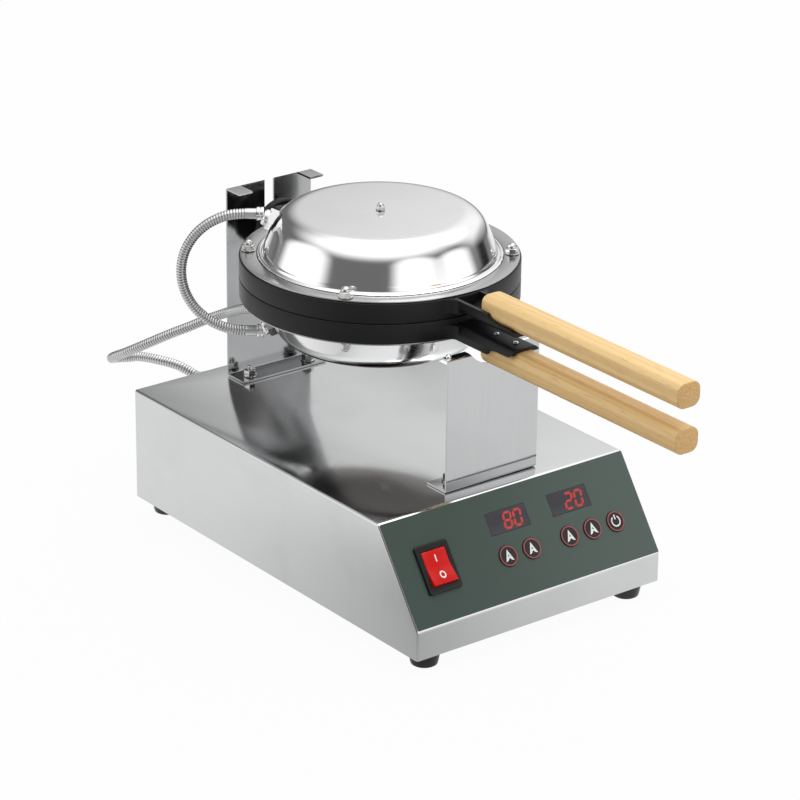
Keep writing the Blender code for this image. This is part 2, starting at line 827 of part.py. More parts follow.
def build_switch(panel):
    base = SEAT * 2 + OVERLAY_THICKNESS
    bezel = part(
        "switch_bezel",
        outline_mesh(
            "switch_bezel",
            rounded_rectangle(BEZEL_WIDTH, BEZEL_HEIGHT, BEZEL_CORNER),
            0,
            BEZEL_FLANGE,
            "Z",
        ),
        "black_plastic",
        panel,
        (SWITCH_U, SWITCH_V, base),
    )
    body = (BEZEL_WIDTH - 2 * BEZEL_RIM, BEZEL_HEIGHT - 2 * BEZEL_RIM)
    fuse(
        bezel,
        span_mesh(
            "body",
            (-body[0] / 2, -body[1] / 2, -BEZEL_DEPTH),
            (body[0] / 2, body[1] / 2, BEZEL_FLANGE / 2),
        ),
    )
    axis = BEZEL_FLANGE - ROCKER_AXIS_DEPTH
    opening = (ROCKER_WIDTH + 2 * SEAT, 2 * (ROCKER_RADIUS + SEAT))
    cut(
        bezel,
        span_mesh(
            "well",
            (-opening[0] / 2, -opening[1] / 2, -BEZEL_DEPTH + BEZEL_WALL),
            (opening[0] / 2, opening[1] / 2, BEZEL_FLANGE + OVERRUN),
        ),
        rod_mesh(
            "pivot",
            ROCKER_PIN_RADIUS + RUNNING,
            -ROCKER_WIDTH / 2 - ROCKER_PIN_REACH - SEAT,
            ROCKER_WIDTH / 2 + ROCKER_PIN_REACH + SEAT,
            "X",
            (0, axis),
            12,
        ),
    )
    top, bottom = ROCKER_TOP_ANGLE, ROCKER_BOTTOM_ANGLE
    outline = arc((0, 0), ROCKER_RADIUS, -bottom, top, 6)
    outline += [(0, ROCKER_CREST)]
    outline += arc((0, 0), ROCKER_RADIUS, math.pi - top, math.pi + bottom, 6)
    rocker = part(
        "power_rocker",
        outline_mesh("power_rocker", outline, -ROCKER_WIDTH / 2, ROCKER_WIDTH / 2, "X"),
        "red_plastic",
        panel,
        (SWITCH_U, SWITCH_V, base + axis),
        (-ROCKER_THROW / 2, 0, 0),
    )
    reach = ROCKER_WIDTH / 2 + ROCKER_PIN_REACH
    fuse(rocker, rod_mesh("pins", ROCKER_PIN_RADIUS, -reach, reach, "X", (0, 0), 12))


def build_board(panel):
    top = -BOARD_DEPTH
    board = part(
        "control_board",
        span_mesh(
            "control_board",
            (-BOARD_WIDTH / 2, -BOARD_HEIGHT / 2, top - BOARD_THICKNESS),
            (BOARD_WIDTH / 2, BOARD_HEIGHT / 2, top),
        ),
        "board",
        panel,
    )
    sunk = top - BOARD_THICKNESS / 2
    for u in (-BOARD_POST_U, BOARD_POST_U):
        for v in (-BOARD_POST_V, BOARD_POST_V):
            fuse(
                board,
                rod_mesh("post", BOARD_POST_RADIUS, sunk, -SHEET - SEAT, "Z", (u, v), 6),
            )
    under_key = SEAT + OVERLAY_THICKNESS + KEY_PROUD - KEY_DEPTH - KEY_TRAVEL - SEAT
    for u in KEYS_U.values():
        fuse(
            board,
            rod_mesh("push", BOARD_SWITCH_RADIUS, sunk, under_key, "Z", (u, KEY_V), 6),
        )


# Supports


def bolt_places():
    rear = REAR_SUPPORT_Y - SUPPORT_BOLT_INSET
    front = FRONT_SUPPORT_Y + SHEET + SUPPORT_BOLT_INSET
    return {
        "rear_support_bolt_left": (-SUPPORT_BOLT_X, rear),
        "rear_support_bolt_right": (SUPPORT_BOLT_X, rear),
        "front_support_bolt_left": (-SUPPORT_BOLT_X, front),
        "front_support_bolt_right": (SUPPORT_BOLT_X, front),
    }


def cut_bolt_holes(support, side):
    for name, (x, y) in bolt_places().items():
        if name.startswith(side):
            cut(
                support,
                rod_mesh(
                    "bolt_hole",
                    BOLT_SHANK_RADIUS + SEAT,
                    BASE_TOP_Z - OVERRUN,
                    BASE_TOP_Z + OVERRUN,
                    "Z",
                    (x, y),
                    12,
                ),
            )


def build_rear_support():
    foot = BASE_TOP_Z + SEAT
    points = bent(
        [
            (REAR_SUPPORT_Y - SUPPORT_FOOT, foot),
            (REAR_SUPPORT_Y + SHEET, foot),
            (REAR_SUPPORT_Y + SHEET, REAR_SUPPORT_TOP_Z),
            (REAR_SUPPORT_Y - STOP_TAB_LENGTH, REAR_SUPPORT_TOP_Z),
        ],
        FOLD_RADIUS,
    )
    support = strip_object(
        "rear_support", points, REAR_SUPPORT_HALF_WIDTH, SHEET, 1, "polished_steel"
    )
    between = REAR_SUPPORT_HALF_WIDTH - STOP_TAB_WIDTH
    slot = SHAFT_RADIUS + RUNNING
    cut(
        support,
        span_mesh(
            "between_tabs",
            (
                -between,
                REAR_SUPPORT_Y - STOP_TAB_LENGTH - OVERRUN,
                REAR_SUPPORT_TOP_Z - SHEET - FOLD_RADIUS,
            ),
            (between, REAR_SUPPORT_Y, REAR_SUPPORT_TOP_Z + OVERRUN),
        ),
        outline_mesh(
            "slot",
            arc((0, AXIS_Z), slot, math.pi, 2 * math.pi, 10)
            + [
                (slot, REAR_SUPPORT_TOP_Z + OVERRUN),
                (-slot, REAR_SUPPORT_TOP_Z + OVERRUN),
            ],
            REAR_SUPPORT_Y - OVERRUN,
            REAR_SUPPORT_Y + SHEET + OVERRUN,
            "Y",
        ),
    )
    cut_bolt_holes(support, "rear")


def notch_radius():
    corner = Vector(
        (
            GRIP_WIDTH / 2 - GRIP_CORNER,
            GRIP_OFFSET + GRIP_HEIGHT / 2 - GRIP_CORNER,
        )
    )
    return corner.length + GRIP_CORNER + SEAT


def build_front_support():
    foot = BASE_TOP_Z + SEAT
    points = bent(
        [
            (FRONT_SUPPORT_Y, FRONT_SUPPORT_TOP_Z),
            (FRONT_SUPPORT_Y, foot),
            (FRONT_SUPPORT_Y + SHEET + SUPPORT_FOOT, foot),
        ],
        FOLD_RADIUS,
    )
    support = strip_object(
        "front_support", points, FRONT_SUPPORT_HALF_WIDTH, SHEET, 1, "polished_steel"
    )
    cut(
        support,
        rod_mesh(
            "notch",
            notch_radius(),
            FRONT_SUPPORT_Y - OVERRUN,
            FRONT_SUPPORT_Y + SHEET + OVERRUN,
            "Y",
            (0, AXIS_Z),
            64,
        ),
    )
    cut_bolt_holes(support, "front")


def build_bolts():
    seat = BASE_TOP_Z + 2 * SEAT + SHEET
    washer = seat + WASHER_THICKNESS
    hex_top = washer + BOLT_HEX_HEIGHT
    profile = [
        (0, hex_top + BOLT_TIP_HEIGHT),
        (BOLT_SHANK_RADIUS, hex_top + BOLT_TIP_HEIGHT),
        (BOLT_SHANK_RADIUS, washer),
        (BOLT_WASHER_RADIUS, washer),
        (BOLT_WASHER_RADIUS, seat),
        (BOLT_SHANK_RADIUS, seat),
        (BOLT_SHANK_RADIUS, BASE_TOP_Z - SHEET - BOLT_REACH),
        (0, BASE_TOP_Z - SHEET - BOLT_REACH),
    ]
    body = turned_object("bolt", profile, "iron", 8)
    fuse(
        body,
        rod_mesh(
            "hex", BOLT_HEX_RADIUS, washer - WASHER_THICKNESS / 2, hex_top, "Z", (0, 0), 6
        ),
    )
    mesh = smooth(evaluated_mesh(body, "bolt"))
    bpy.data.objects.remove(body)
    for name, (x, y) in bolt_places().items():
        part(name, mesh.copy(), "iron", None, (x, y, 0))


# Moulds. Both halves are built in the upper half's frame: the origin is the
# middle of the parting plane and +Z points away from it. The lower half is
# the same shape turned half round the long axis.


def cell_places():
    """Rows staggered by half a pitch, the same on both sides of the middle."""
    reach = RECESS_RADIUS - CELL_RADIUS - CELL_MARGIN
    row_pitch = CELL_PITCH * math.sqrt(3) / 2
    for side in (-1, 1):
        for row in range(math.ceil(reach / row_pitch)):
            y = side * (CELL_PITCH / 2 + row * row_pitch)
            shift = CELL_PITCH / 2 * (1 - row % 2)
            count = math.ceil(reach / CELL_PITCH)
            for i in range(-count, count + 1):
                x = i * CELL_PITCH + shift
                if math.hypot(x, y) <= reach:
                    yield x, y


def nut_places():
    for sx in (-1, 1):
        for sy in (-1, 1):
            yield (
                sx * NUT_CIRCLE_RADIUS * math.cos(NUT_ANGLE),
                sy * NUT_CIRCLE_RADIUS * math.sin(NUT_ANGLE),
            )


def cells_mesh():
    bm = bmesh.new()
    for x, y in cell_places():
        bmesh.ops.create_uvsphere(
            bm,
            u_segments=10,
            v_segments=6,
            radius=CELL_RADIUS,
            matrix=Matrix.Translation((x, y, PARTING + RECESS_DEPTH - CELL_RISE)),
        )
    return finish_mesh(bm, "cells")


def grip_bottom():
    return GRIP_OFFSET - GRIP_HEIGHT / 2


def neck_outline():
    """The channel that holds a grip, as an (x, z) section open away from the parting plane."""
    inner = GRIP_WIDTH / 2 + SEAT
    floor = grip_bottom() - SEAT
    corner = GRIP_CORNER + SEAT
    outer = NECK_OUTER_WIDTH / 2
    right = [(outer, NECK_WALL_TOP)]
    right += arc((outer - NECK_CORNER, NECK_GAP + NECK_CORNER), NECK_CORNER, 0, -math.pi / 2, 3)
    left = [(-x, z) for x, z in reversed(right)]
    inside = [(-inner, NECK_WALL_TOP)]
    inside += arc((-inner + corner, floor + corner), corner, math.pi, 1.5 * math.pi, 3)
    inside += [(-x, z) for x, z in reversed(inside)]
    return right + left + inside


def grip_screw_places():
    first = NECK_END_Y + GRIP_SCREW_FIRST
    return [first, first + GRIP_SCREW_PITCH]


def casting_object(name, frame):
    floor = PARTING + RECESS_DEPTH
    profile = [
        (0, BOSS_HEIGHT),
        (BOSS_RADIUS, BOSS_HEIGHT),
        (BOSS_RADIUS, RIM_HEIGHT),
        (RING_RADIUS - EDGE_BREAK, RIM_HEIGHT),
        (RING_RADIUS, RIM_HEIGHT - EDGE_BREAK),
        (RING_RADIUS, PARTING + EDGE_BREAK),
        (RING_RADIUS - EDGE_BREAK, PARTING),
        (RECESS_RADIUS + EDGE_BREAK, PARTING),
        (RECESS_RADIUS, floor),
        (0, floor),
    ]
    casting = turned_object(name, profile, "black_casting", 40, frame)
    root = -RING_RADIUS + NECK_ROOT
    fuse(
        casting,
        outline_mesh("neck", neck_outline(), NECK_END_Y - RING_Y, root, "Y"),
    )
    return casting


def cut_casting(casting):
    cut(casting, cells_mesh())
    for x, y in nut_places():
        cut(
            casting,
            rod_mesh(
                "stud_hole",
                STUD_RADIUS + STUD_CLEARANCE,
                RIM_HEIGHT - STUD_REACH - SEAT,
                RIM_HEIGHT + OVERRUN,
                "Z",
                (x, y),
                10,
            ),
        )
    for y in grip_screw_places():
        cut(
            casting,
            rod_mesh(
                "screw_hole",
                GRIP_SCREW_RADIUS + SEAT,
                NECK_GAP - OVERRUN,
                grip_bottom() + OVERRUN,
                "Z",
                (0, y - RING_Y),
                10,
            ),
        )


def hinge_local_y():
    return HINGE_Y - RING_Y


def build_upper_casting(frame):
    casting = casting_object("upper_mould", frame)
    y, z = hinge_local_y(), HINGE_RISE
    inside = RING_RADIUS - NECK_ROOT
    web = [
        (inside, z),
        (inside, z - LUG_RADIUS),
        (y, z - LUG_RADIUS),
        (y, z),
    ]
    fuse(
        casting,
        outline_mesh("lug_web", web, -LUG_HALF_WIDTH, LUG_HALF_WIDTH, "X"),
        rod_mesh("lug", LUG_RADIUS, -LUG_HALF_WIDTH, LUG_HALF_WIDTH, "X", (y, z), 20),
    )
    cut_casting(casting)
    cut(
        casting,
        rod_mesh(
            "pin_hole",
            HINGE_PIN_RADIUS + RUNNING,
            -LUG_HALF_WIDTH - OVERRUN,
            LUG_HALF_WIDTH + OVERRUN,
            "X",
            (y, z),
            16,
        ),
    )


def ear_faces():
    inner = LUG_HALF_WIDTH + EAR_SIDE_GAP
    return inner, inner + EAR_THICKNESS


def build_lower_casting(frame):
    casting = casting_object("lower_mould", frame)
    y, z = hinge_local_y(), -HINGE_RISE
    inside = RING_RADIUS - NECK_ROOT
    disc = PIVOT_DISC_Y - RING_Y
    back = disc + PIVOT_DISC_THICKNESS / 2
    inner, outer = ear_faces()
    ear = [(inside, BRACKET_BOTTOM), (back, BRACKET_BOTTOM), (back, z * EAR_SHOULDER_SHARE)]
    ear += arc((y, z), EAR_RADIUS, 0, -math.pi, 8)
    ear += [(y - EAR_RADIUS, BRACKET_TOP), (inside, BRACKET_TOP)]
    web = span_mesh(
        "bracket_web",
        (-outer + EAR_SIDE_GAP, inside, BRACKET_WEB_TOP),
        (outer - EAR_SIDE_GAP, back, BRACKET_BOTTOM - EAR_SIDE_GAP),
    )
    fuse(
        casting,
        outline_mesh("ear_left", ear, -outer, -inner, "X"),
        outline_mesh("ear_right", ear, inner, outer, "X"),
        web,
        rod_mesh(
            "pivot_disc",
            PIVOT_DISC_RADIUS,
            disc,
            disc + PIVOT_DISC_THICKNESS,
            "Y",
            (0, 0),
            28,
        ),
    )
    cut_casting(casting)
    cut(
        casting,
        rod_mesh(
            "pin_hole",
            HINGE_PIN_RADIUS + RUNNING,
            -outer - OVERRUN,
            outer + OVERRUN,
            "X",
            (y, z),
            16,
        ),
        rod_mesh(
            "shaft_hole",
            SHAFT_RADIUS + SEAT,
            disc + PIVOT_DISC_THICKNESS - SHAFT_INSET - SEAT,
            disc + PIVOT_DISC_THICKNESS + OVERRUN,
            "Y",
            (0, 0),
            20,
        ),
    )


def build_clamp_ring(name, frame):
    low = RIM_HEIGHT + SEAT
    high = low + CLAMP_THICKNESS
    profile = [
        (CLAMP_INNER_RADIUS, low),
        (CLAMP_INNER_RADIUS, high),
        (CLAMP_OUTER_RADIUS, high),
        (CLAMP_OUTER_RADIUS, low),
        (CLAMP_INNER_RADIUS, low),
    ]
    ring = turned_object(name, profile, "bright_steel", 40, frame)
    for x, y in nut_places():
        cut(
            ring,
            rod_mesh(
                "stud_hole",
                STUD_RADIUS + STUD_CLEARANCE,
                low - OVERRUN,
                high + OVERRUN,
                "Z",
                (x, y),
                8,
            ),
        )


def dome_profile(offset=0):
    """(radius, height) points down the outside of the dome, offset outwards."""
    base = RIM_HEIGHT + SEAT + DOME_FLANGE_STEP
    shares = zip(DOME_RADIUS_SHARES, DOME_HEIGHT_SHARES)
    points = [
        (DOME_WALL_RADIUS * r + offset, base + (DOME_HEIGHT - DOME_FLANGE_STEP) * h + offset)
        for r, h in shares
    ]
    return [(0, base + DOME_HEIGHT - DOME_FLANGE_STEP + offset)] + points


def dome_top():
    return dome_profile()[0][1]


def fitting_hole_mesh(angle):
    return rod_mesh(
        "fitting_hole",
        FITTING_HOLE_RADIUS,
        FITTING_STUB_BOTTOM - OVERRUN,
        FITTING_TOP,
        "Z",
        fitting_place(angle),
        10,
    )


def fitting_place(angle):
    return FITTING_RADIUS * math.cos(angle), FITTING_RADIUS * math.sin(angle)


def build_dome(name, frame, angles):
    profile = dome_profile()
    hole = STUD_RADIUS + STUD_CLEARANCE
    profile[0] = (hole, profile[0][1])
    seat = RIM_HEIGHT + SEAT
    profile += [(DOME_FLANGE_RADIUS, profile[-1][1])]
    dome = turned_object(name, profile, "polished_steel", 32, frame)
    solid = dome.modifiers.new("sheet", "SOLIDIFY")
    solid.thickness = DOME_SHEET
    solid.offset = -1
    solid.use_even_offset = True
    assert profile[-1][1] - DOME_SHEET > seat
    for angle in angles:
        cut(dome, fitting_hole_mesh(angle))


def acorn_mesh(name, reach, washer=True):
    """A cap nut with its stud, standing on z = 0."""
    seat = WASHER_THICKNESS
    cap = seat + NUT_HEIGHT
    profile = [(0, cap + NUT_CAP_RADIUS)]
    profile += [
        (NUT_CAP_RADIUS * math.sin(a), cap + NUT_CAP_RADIUS * math.cos(a))
        for a in (math.radians(d) for d in (40, 80))
    ]
    profile += [
        (NUT_CAP_RADIUS, seat),
        (WASHER_RADIUS, seat),
        (WASHER_RADIUS, 0),
        (STUD_RADIUS, 0),
        (STUD_RADIUS, -reach),
        (0, -reach),
    ]
    body = turned_object(name, profile, "bright_steel", 6)
    fuse(body, rod_mesh("hex", NUT_RADIUS, seat / 2, cap, "Z", (0, 0), 6))
    mesh = smooth(evaluated_mesh(body, name))
    bpy.data.objects.remove(body)
    return mesh


def build_nuts(side, frame):
    clamp_top = RIM_HEIGHT + SEAT + CLAMP_THICKNESS + SEAT
    mesh = acorn_mesh("acorn_nut", clamp_top - RIM_HEIGHT + STUD_REACH)
    for (x, y), name in zip(nut_places(), ("a", "b", "c", "d")):
        part(f"{side}_clamp_nut_{name}", mesh.copy(), "bright_steel", frame, (x, y, clamp_top))
    seat = dome_top() + SEAT
    centre = acorn_mesh("dome_nut", seat - BOSS_HEIGHT - SEAT)
    part(f"{side}_dome_nut", centre, "bright_steel", frame, (0, 0, seat))


def build_heater(name, frame):
    curve = bpy.data.curves.new(name, "CURVE")
    curve.dimensions = "3D"
    curve.bevel_depth = HEATER_TUBE_RADIUS
    curve.bevel_resolution = 1
    curve.use_fill_caps = True
    level = BOSS_HEIGHT + SEAT + HEATER_TUBE_RADIUS
    start = HEATER_OPENING / 2
    end = 2 * math.pi - HEATER_OPENING / 2
    steps = 22
    ring = [start + (end - start) * i / steps for i in range(steps + 1)]
    points = [
        (HEATER_RADIUS * math.cos(a), HEATER_RADIUS * math.sin(a), level) for a in ring
    ]
    legs = [
        Vector((*points[i][:2], level)) + Vector((HEATER_LEG / 2, 0, HEATER_LEG))
        for i in (0, -1)
    ]
    points = [tuple(legs[0])] + points + [tuple(legs[1])]
    spline = curve.splines.new("POLY")
    spline.points.add(len(points) - 1)
    for point, place in zip(spline.points, points):
        point.co = (*place, 1)
    part(name, smooth(curve_mesh(curve, name)), "heater_sheath", frame)


def build_grip(name, frame):
    outline = rounded_rectangle(GRIP_WIDTH, GRIP_HEIGHT, GRIP_CORNER, 3, (0, GRIP_OFFSET))
    start = GRIP_FRONT_Y - RING_Y
    mesh = outline_mesh(name, outline, start, start + GRIP_LENGTH, "Y")
    grip = part(name, smooth(mesh, math.radians(50)), "wood", frame)
    bevel(grip, GRIP_END_BREAK, 1, math.radians(70))
    for y in grip_screw_places():
        cut(
            grip,
            rod_mesh(
                "screw_hole",
                GRIP_SCREW_RADIUS + SEAT,
                grip_bottom() - OVERRUN,
                NECK_GAP + GRIP_SCREW_REACH + SEAT,
                "Z",
                (0, y - RING_Y),
                10,
            ),
        )


def build_grip_screws(side, frame):
    seat = NECK_GAP - SEAT
    head = seat - GRIP_SCREW_HEAD_HEIGHT
    profile = [
        (0, NECK_GAP + GRIP_SCREW_REACH),
        (GRIP_SCREW_RADIUS, NECK_GAP + GRIP_SCREW_REACH),
        (GRIP_SCREW_RADIUS, seat),
        (GRIP_SCREW_HEAD, seat),
        (GRIP_SCREW_HEAD, (seat + head) / 2),
        ((GRIP_SCREW_HEAD + GRIP_SCREW_RADIUS) / 2, head),
        (0, head),
    ]
    mesh = turned_mesh("grip_screw", profile, 8)
    for name, y in zip(("front", "rear"), grip_screw_places()):
        part(f"{side}_grip_screw_{name}", mesh.copy(), "bright_steel", frame, (0, y - RING_Y, 0))


def build_fitting(name, frame, angle):
    """An angle fitting that stands on the dome's shoulder and points outwards."""
    half = FITTING_BODY / 2
    body = outline_mesh(
        name,
        rounded_rectangle(FITTING_BODY, FITTING_BODY, FITTING_CORNER, 2, (FITTING_RADIUS, 0)),
        FITTING_BOTTOM,
        FITTING_TOP,
        "Z",
    )
    place = (0, 0, angle)
    fitting = part(name, body, "bright_steel", frame, (0, 0, 0), place)
    end = FITTING_RADIUS + half
    fuse(
        fitting,
        rod_mesh(
            "seat",
            FITTING_HEX_RADIUS,
            FITTING_HEX_BOTTOM,
            FITTING_BOTTOM + FITTING_CORNER,
            "Z",
            (FITTING_RADIUS, 0),
            6,
        ),
        rod_mesh(
            "sleeve",
            FITTING_SLEEVE_RADIUS,
            FITTING_RADIUS,
            end + FITTING_SLEEVE,
            "X",
            (0, HOSE_LEVEL),
            10,
        ),
    )
    guard = dome_profile(SEAT)
    guard += [
        (guard[-1][0], BOSS_HEIGHT - OVERRUN),
        (0, BOSS_HEIGHT - OVERRUN),
    ]
    cut(fitting, turned_mesh("dome_guard", guard, 32))
    fuse(
        fitting,
        rod_mesh(
            "stub",
            FITTING_STUB_RADIUS,
            FITTING_STUB_BOTTOM,
            FITTING_BOTTOM + FITTING_CORNER,
            "Z",
            (FITTING_RADIUS, 0),
            8,
        ),
    )
    return fitting


# Shafts and pins


def build_pivot(turn_frame):
    disc_back = PIVOT_DISC_Y + PIVOT_DISC_THICKNESS
    collar = disc_back + SEAT
    plate = REAR_SUPPORT_Y - SEAT
    end = REAR_SUPPORT_Y + SHEET + SHAFT_END
    profile = [
        (0, end),
        (SHAFT_RADIUS, end),
        (SHAFT_RADIUS, plate),
        (SHAFT_COLLAR_RADIUS, plate),
        (SHAFT_COLLAR_RADIUS, collar),
        (SHAFT_RADIUS, collar),
        (SHAFT_RADIUS, disc_back - SHAFT_INSET),
        (0, disc_back - SHAFT_INSET),
    ]
    mesh = turned_mesh("pivot_shaft", profile, 16)
    mesh.transform(AXES["Y"])
    part("pivot_shaft", mesh, "bright_steel", turn_frame)
    nut_start = REAR_SUPPORT_Y + SHEET + SEAT
    nut = part(
        "pivot_nut",
        rod_mesh(
            "pivot_nut",
            PIVOT_NUT_RADIUS,
            nut_start,
            nut_start + PIVOT_NUT_THICKNESS,
            "Y",
            (0, 0),
            6,
        ),
        "bright_steel",
        turn_frame,
    )
    cut(
        nut,
        rod_mesh(
            "nut_bore",
            SHAFT_RADIUS + RUNNING,
            nut_start - OVERRUN,
            nut_start + PIVOT_NUT_THICKNESS + OVERRUN,
            "Y",
            (0, 0),
            24,
        ),
    )


def build_hinge_pin(turn_frame):
    outer = ear_faces()[1]
    reach = outer + SEAT
    profile = [
        (0, reach + HINGE_PIN_HEAD),
        (HINGE_PIN_HEAD_RADIUS, reach + HINGE_PIN_HEAD),
        (HINGE_PIN_HEAD_RADIUS, reach),
        (HINGE_PIN_RADIUS, reach),
        (HINGE_PIN_RADIUS, -reach - HINGE_PIN_HEAD),
        (0, -reach - HINGE_PIN_HEAD),
    ]
    mesh = turned_mesh("hinge_pin", profile, 12)
    mesh.transform(AXES["X"])
    part("hinge_pin", mesh, "bright_steel", turn_frame, (0, HINGE_Y, HINGE_RISE))


# Conduits


def smooth_route(points, pitch):
    """Points at an even pitch along a smooth curve through the given ones."""
    places = [Vector(p) for p in points]
    places = [2 * places[0] - places[1]] + places + [2 * places[-1] - places[-2]]
    fine = []
    for p0, p1, p2, p3 in zip(places, places[1:], places[2:], places[3:]):
        for i in range(24):
            t = i / 24
            fine.append(
                (
                    p1 * 2
                    + (p2 - p0) * t
                    + (p0 * 2 - p1 * 5 + p2 * 4 - p3) * t * t
                    + (p1 * 3 - p0 - p2 * 3 + p3) * t * t * t
                )
                / 2
            )
    fine.append(places[-2])
    total = sum((b - a).length for a, b in zip(fine, fine[1:]))
    count = max(2, round(total / pitch))
    even, walked, target = [fine[0]], 0.0, total / count
    for a, b in zip(fine, fine[1:]):
        step = (b - a).length
        while walked + step >= target * len(even) and len(even) < count:
            even.append(a.lerp(b, (target * len(even) - walked) / step))
        walked += step
    return even + [fine[-1]], total


def tube_mesh(name, points, radii, depth):
    curve = bpy.data.curves.new(name, "CURVE")
    curve.dimensions = "3D"
    curve.bevel_depth = depth
    curve.bevel_resolution = 2
    curve.use_fill_caps = True
    spline = curve.splines.new("POLY")
    spline.points.add(len(points) - 1)
    for point, place, radius in zip(spline.points, points, radii):
        point.co = (*place, 1)
        point.radius = radius
    return curve_mesh(curve, name)


def build_conduit(name, start, start_way, end, end_way, route):
    """A ribbed tube between two fittings: two points of unlike radius a rib."""
    plain = 2 * CONDUIT_RADIUS
    first = start + start_way * plain
    last = end + end_way * plain
    path, total = smooth_route([first, *route, last], CONDUIT_RIB_PITCH / 2)
    if len(path) % 2 == 0:
        path, total = smooth_route([first, *route, last], total / (len(path) - 2))
    shares = [
        1 if i % 2 == 0 else CONDUIT_ROOT_RADIUS / CONDUIT_RADIUS for i in range(len(path))
    ]
    points = [start, *path, end]
    radii = [1, *shares, 1]
    tube = part(
        name, smooth(tube_mesh(name, points, radii, CONDUIT_RADIUS), math.radians(80)), "conduit"
    )
    bore = [start - start_way * plain, start, *path[::6], path[-1], end, end - end_way * plain]
    cut(tube, tube_mesh("bore", bore, [1] * len(bore), CONDUIT_BORE_RADIUS))
    print(f"{name}: {(total + 2 * plain) * 1000:.0f} mm long, {len(path) // 2} ribs")


def outward(angle):
    return Vector((math.cos(angle), math.sin(angle), 0))


def fitting_mouth(angle, side):
    reach = FITTING_RADIUS + FITTING_BODY / 2 + FITTING_SLEEVE + SEAT
    place = outward(angle) * reach
    return Vector((place.x, place.y + RING_Y, AXIS_Z + side * HOSE_LEVEL))


def build_bridge_hose():
    """The hose that carries the wires from the lower dome to the upper one."""
    way = outward(BRIDGE_ANGLE)
    top = fitting_mouth(BRIDGE_ANGLE, 1)
    bottom = fitting_mouth(BRIDGE_ANGLE, -1)
    run = BRIDGE_REACH * BRIDGE_RUN_SHARE
    middle = Vector((top.x, top.y, AXIS_Z)) + way * run
    deep = BRIDGE_REACH - run
    route = []
    for i in range(1, 16):
        a = math.pi / 2 - math.pi * i / 16
        route.append(middle + way * (deep * math.cos(a)) + Vector((0, 0, HOSE_LEVEL * math.sin(a))))
    build_conduit("bridge_hose", top, way, bottom, way, route)


def build_supply_conduit():
    way = outward(SUPPLY_ANGLE)
    top = fitting_mouth(SUPPLY_ANGLE, -1)
    x, z = CONDUIT_GLAND_PLACE
    gland = Vector((x, BASE_REAR_Y + GLAND_LENGTH + SEAT, z))
    build_conduit("supply_conduit", top, way, gland, Vector((0, 1, 0)), SUPPLY_ROUTE)


def build_base():
    panel = panel_frame()
    build_housing(panel)
    build_floor()
    build_feet()
    build_glands()
    build_transformer()
    build_terminals()
    build_overlay(panel)
    build_displays(panel)
    build_keys(panel)
    build_switch(panel)
    build_board(panel)
    build_rear_support()
    build_front_support()
    build_bolts()


def build_half(side, frame, angles):
    build_clamp_ring(f"{side}_clamp_ring", frame)
    build_dome(f"{side}_dome", frame, angles)
    build_nuts(side, frame)
    build_heater(f"{side}_heater", frame)
    build_grip(f"{side}_grip", frame)
    build_grip_screws(side, frame)
    build_fitting(f"{side}_hose_fitting", frame, angles[0])


def build_moulds():
    turn = empty("mould_turn_axis", None, (0, 0, AXIS_Z))
    lower = empty("lower_frame", turn, (0, RING_Y, 0), (0, math.pi, 0))
    lid = empty("lid_hinge_axis", turn, (0, HINGE_Y, HINGE_RISE))
    upper = empty("upper_frame", lid, (0, RING_Y - HINGE_Y, -HINGE_RISE))
    build_upper_casting(upper)
    build_lower_casting(lower)
    build_half("upper", upper, [BRIDGE_ANGLE])
    mirrored = math.pi - BRIDGE_ANGLE
    supply = math.pi - SUPPLY_ANGLE
    build_half("lower", lower, [mirrored, supply])
    build_fitting("supply_fitting", lower, supply)
    build_pivot(turn)
    build_hinge_pin(turn)


clear_scene()
PARTS = collection("bubble_waffle_maker")
TOOLS = collection("cutters")
build_base()
build_moulds()
build_bridge_hose()
build_supply_conduit()
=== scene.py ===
"""Bubble waffle maker: the visual model on its CAD frame, laid out as a Blender add-on.

Each operator builds one piece or one group of like pieces in metres, +Z up,
with the front towards -Y. Run as a script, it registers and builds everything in
order.
"""

import math

import bmesh
import bpy
from bpy.props import FloatProperty, FloatVectorProperty, IntProperty, PointerProperty
from mathutils import Matrix, Vector


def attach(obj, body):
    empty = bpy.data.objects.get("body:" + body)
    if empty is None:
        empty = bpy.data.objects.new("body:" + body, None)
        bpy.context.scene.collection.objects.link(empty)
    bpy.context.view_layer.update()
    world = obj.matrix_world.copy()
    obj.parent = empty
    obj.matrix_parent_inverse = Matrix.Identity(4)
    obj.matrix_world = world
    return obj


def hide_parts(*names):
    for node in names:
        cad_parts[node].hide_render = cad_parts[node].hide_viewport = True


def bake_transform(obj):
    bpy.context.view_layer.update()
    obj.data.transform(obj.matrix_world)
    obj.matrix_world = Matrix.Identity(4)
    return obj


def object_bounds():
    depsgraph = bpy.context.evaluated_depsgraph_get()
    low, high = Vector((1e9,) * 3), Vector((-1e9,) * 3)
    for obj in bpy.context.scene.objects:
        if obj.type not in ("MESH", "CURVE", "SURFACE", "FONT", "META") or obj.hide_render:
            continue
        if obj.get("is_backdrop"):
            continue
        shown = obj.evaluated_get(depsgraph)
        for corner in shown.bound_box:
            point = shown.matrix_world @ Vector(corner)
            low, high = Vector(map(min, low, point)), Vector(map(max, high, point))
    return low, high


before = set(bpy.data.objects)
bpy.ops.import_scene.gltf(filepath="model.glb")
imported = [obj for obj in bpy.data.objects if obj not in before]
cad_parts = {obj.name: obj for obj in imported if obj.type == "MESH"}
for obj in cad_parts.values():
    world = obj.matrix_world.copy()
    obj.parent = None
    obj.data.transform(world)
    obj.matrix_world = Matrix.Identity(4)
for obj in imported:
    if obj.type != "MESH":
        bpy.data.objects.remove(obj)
BARE_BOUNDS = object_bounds()

